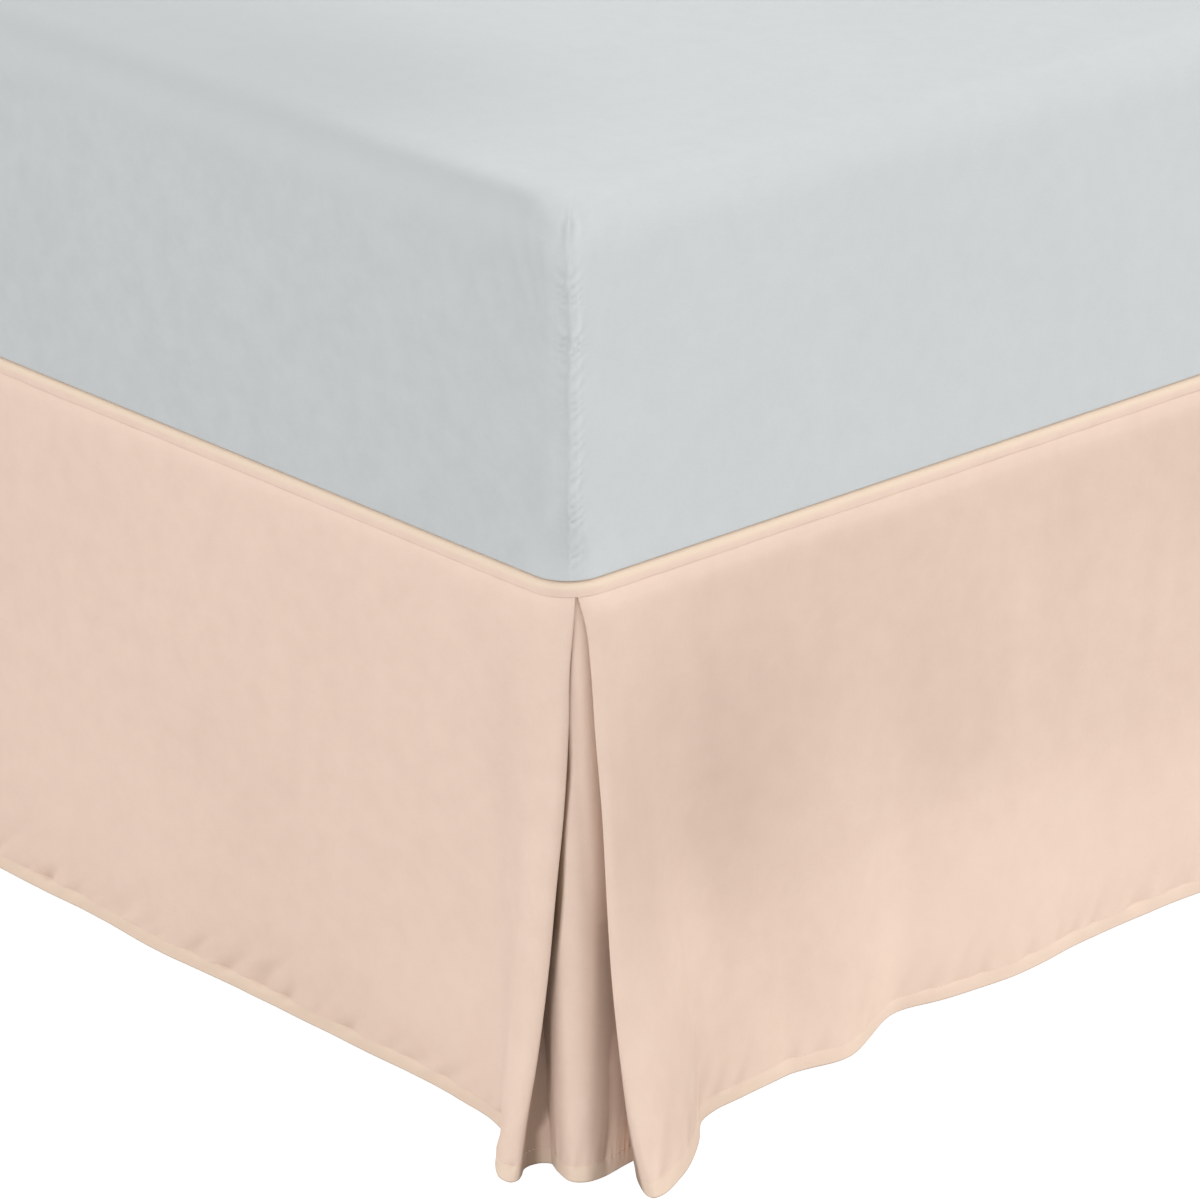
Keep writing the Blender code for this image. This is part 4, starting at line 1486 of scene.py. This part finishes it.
# ---- Studio ----------------------------------------------------------------------
# A white floor without an edge over a grey one that bounces light back, an even white
# surround, a broad soft lamp from the right and a weaker one from the foot.

FLOOR_REACH = 400
LAMP_AIM = Vector((0.3, -0.4, 0.3))
VIEW_YAW = math.radians(47.62)
VIEW_PITCH = math.radians(21.91)
VIEW_DISTANCE = 3.186
VIEW_HEIGHT = 0.377
VIEW_ASIDE = 0.021           # of the view's middle to the right of the foot corner
VIEW_REACH = 500
LENS = 160.05
SENSOR = 36


def studio_floor(name, level, albedo, glow):
    """A plain floor that reaches past the horizon."""
    paint, place = new_material(name, Specular_IOR_Level=0.1, Roughness=0.9,
                                Emission_Color=(1, 1, 1, 1), Emission_Strength=glow)
    tones = [(albedo - 0.01,) * 3 + (1,), (albedo + 0.01,) * 3 + (1,)]
    into_shader(paint, Base_Color=place.grain(0.5).between(*tones))
    bm = bmesh.new()
    bmesh.ops.create_grid(bm, x_segments=1, y_segments=1, size=FLOOR_REACH)
    bmesh.ops.translate(bm, verts=bm.verts, vec=(0, 0, level))
    floor = object_from(bm, name, paint)
    return floor


seen_floor = studio_floor("studio_floor", -0.0002, 0.3, 1.0)
seen_floor.visible_diffuse = False
seen_floor.visible_glossy = False
seen_floor.visible_shadow = False
bounce_floor = studio_floor("studio_floor_under", -0.0012, 0.65, 0.0)
bounce_floor.visible_camera = False

world = bpy.data.worlds.new("studio")
bpy.context.scene.world = world
world.use_nodes = True
surround = world.node_tree.nodes["Background"]
surround.inputs["Color"].default_value = (1.0, 1.0, 1.0, 1)
surround.inputs["Strength"].default_value = 1.0


def soft_lamp(name, azimuth, elevation, distance, size, level):
    """A square lamp aimed at the foot corner; azimuth 0 is the foot, 90 the right side.

    level is how brightly it lights a white sheet that faces it.
    """
    data = bpy.data.lights.new(name, "AREA")
    data.shape = "SQUARE"
    data.size = size
    data.energy = level * (math.pi * distance) ** 2
    lamp = bpy.data.objects.new(name, data)
    turn, rise = math.radians(azimuth), math.radians(elevation)
    away = Vector((math.sin(turn) * math.cos(rise), -math.cos(turn) * math.cos(rise),
                   math.sin(rise)))
    lamp.location = LAMP_AIM + away * distance
    lamp.rotation_euler = away.to_track_quat("Z", "Y").to_euler()
    lamp.visible_camera = False
    bpy.context.scene.collection.objects.link(lamp)


soft_lamp("key", 135, 18, 9.0, 5.0, 0.33)
soft_lamp("fill", 5, 15, 6.0, 3.5, 0.15)

forward = Vector((-math.sin(VIEW_YAW) * math.cos(VIEW_PITCH),
                  math.cos(VIEW_YAW) * math.cos(VIEW_PITCH), -math.sin(VIEW_PITCH)))
sideways = Vector((math.cos(VIEW_YAW), math.sin(VIEW_YAW), 0))
upward = sideways.cross(forward)
target = Vector((HALF_WIDTH, FOOT_Y, VIEW_HEIGHT)) + sideways * VIEW_ASIDE
view_camera = bpy.data.objects.new("view", bpy.data.cameras.new("view"))
view_camera.data.lens = LENS
view_camera.data.sensor_width = SENSOR
view_camera.data.clip_end = VIEW_REACH
turned = Matrix((sideways, upward, -forward)).transposed().to_4x4()
view_camera.matrix_world = Matrix.Translation(target - forward * VIEW_DISTANCE) @ turned
bpy.context.scene.collection.objects.link(view_camera)
bpy.context.scene.camera = view_camera
bpy.context.scene.view_settings.view_transform = "Standard"
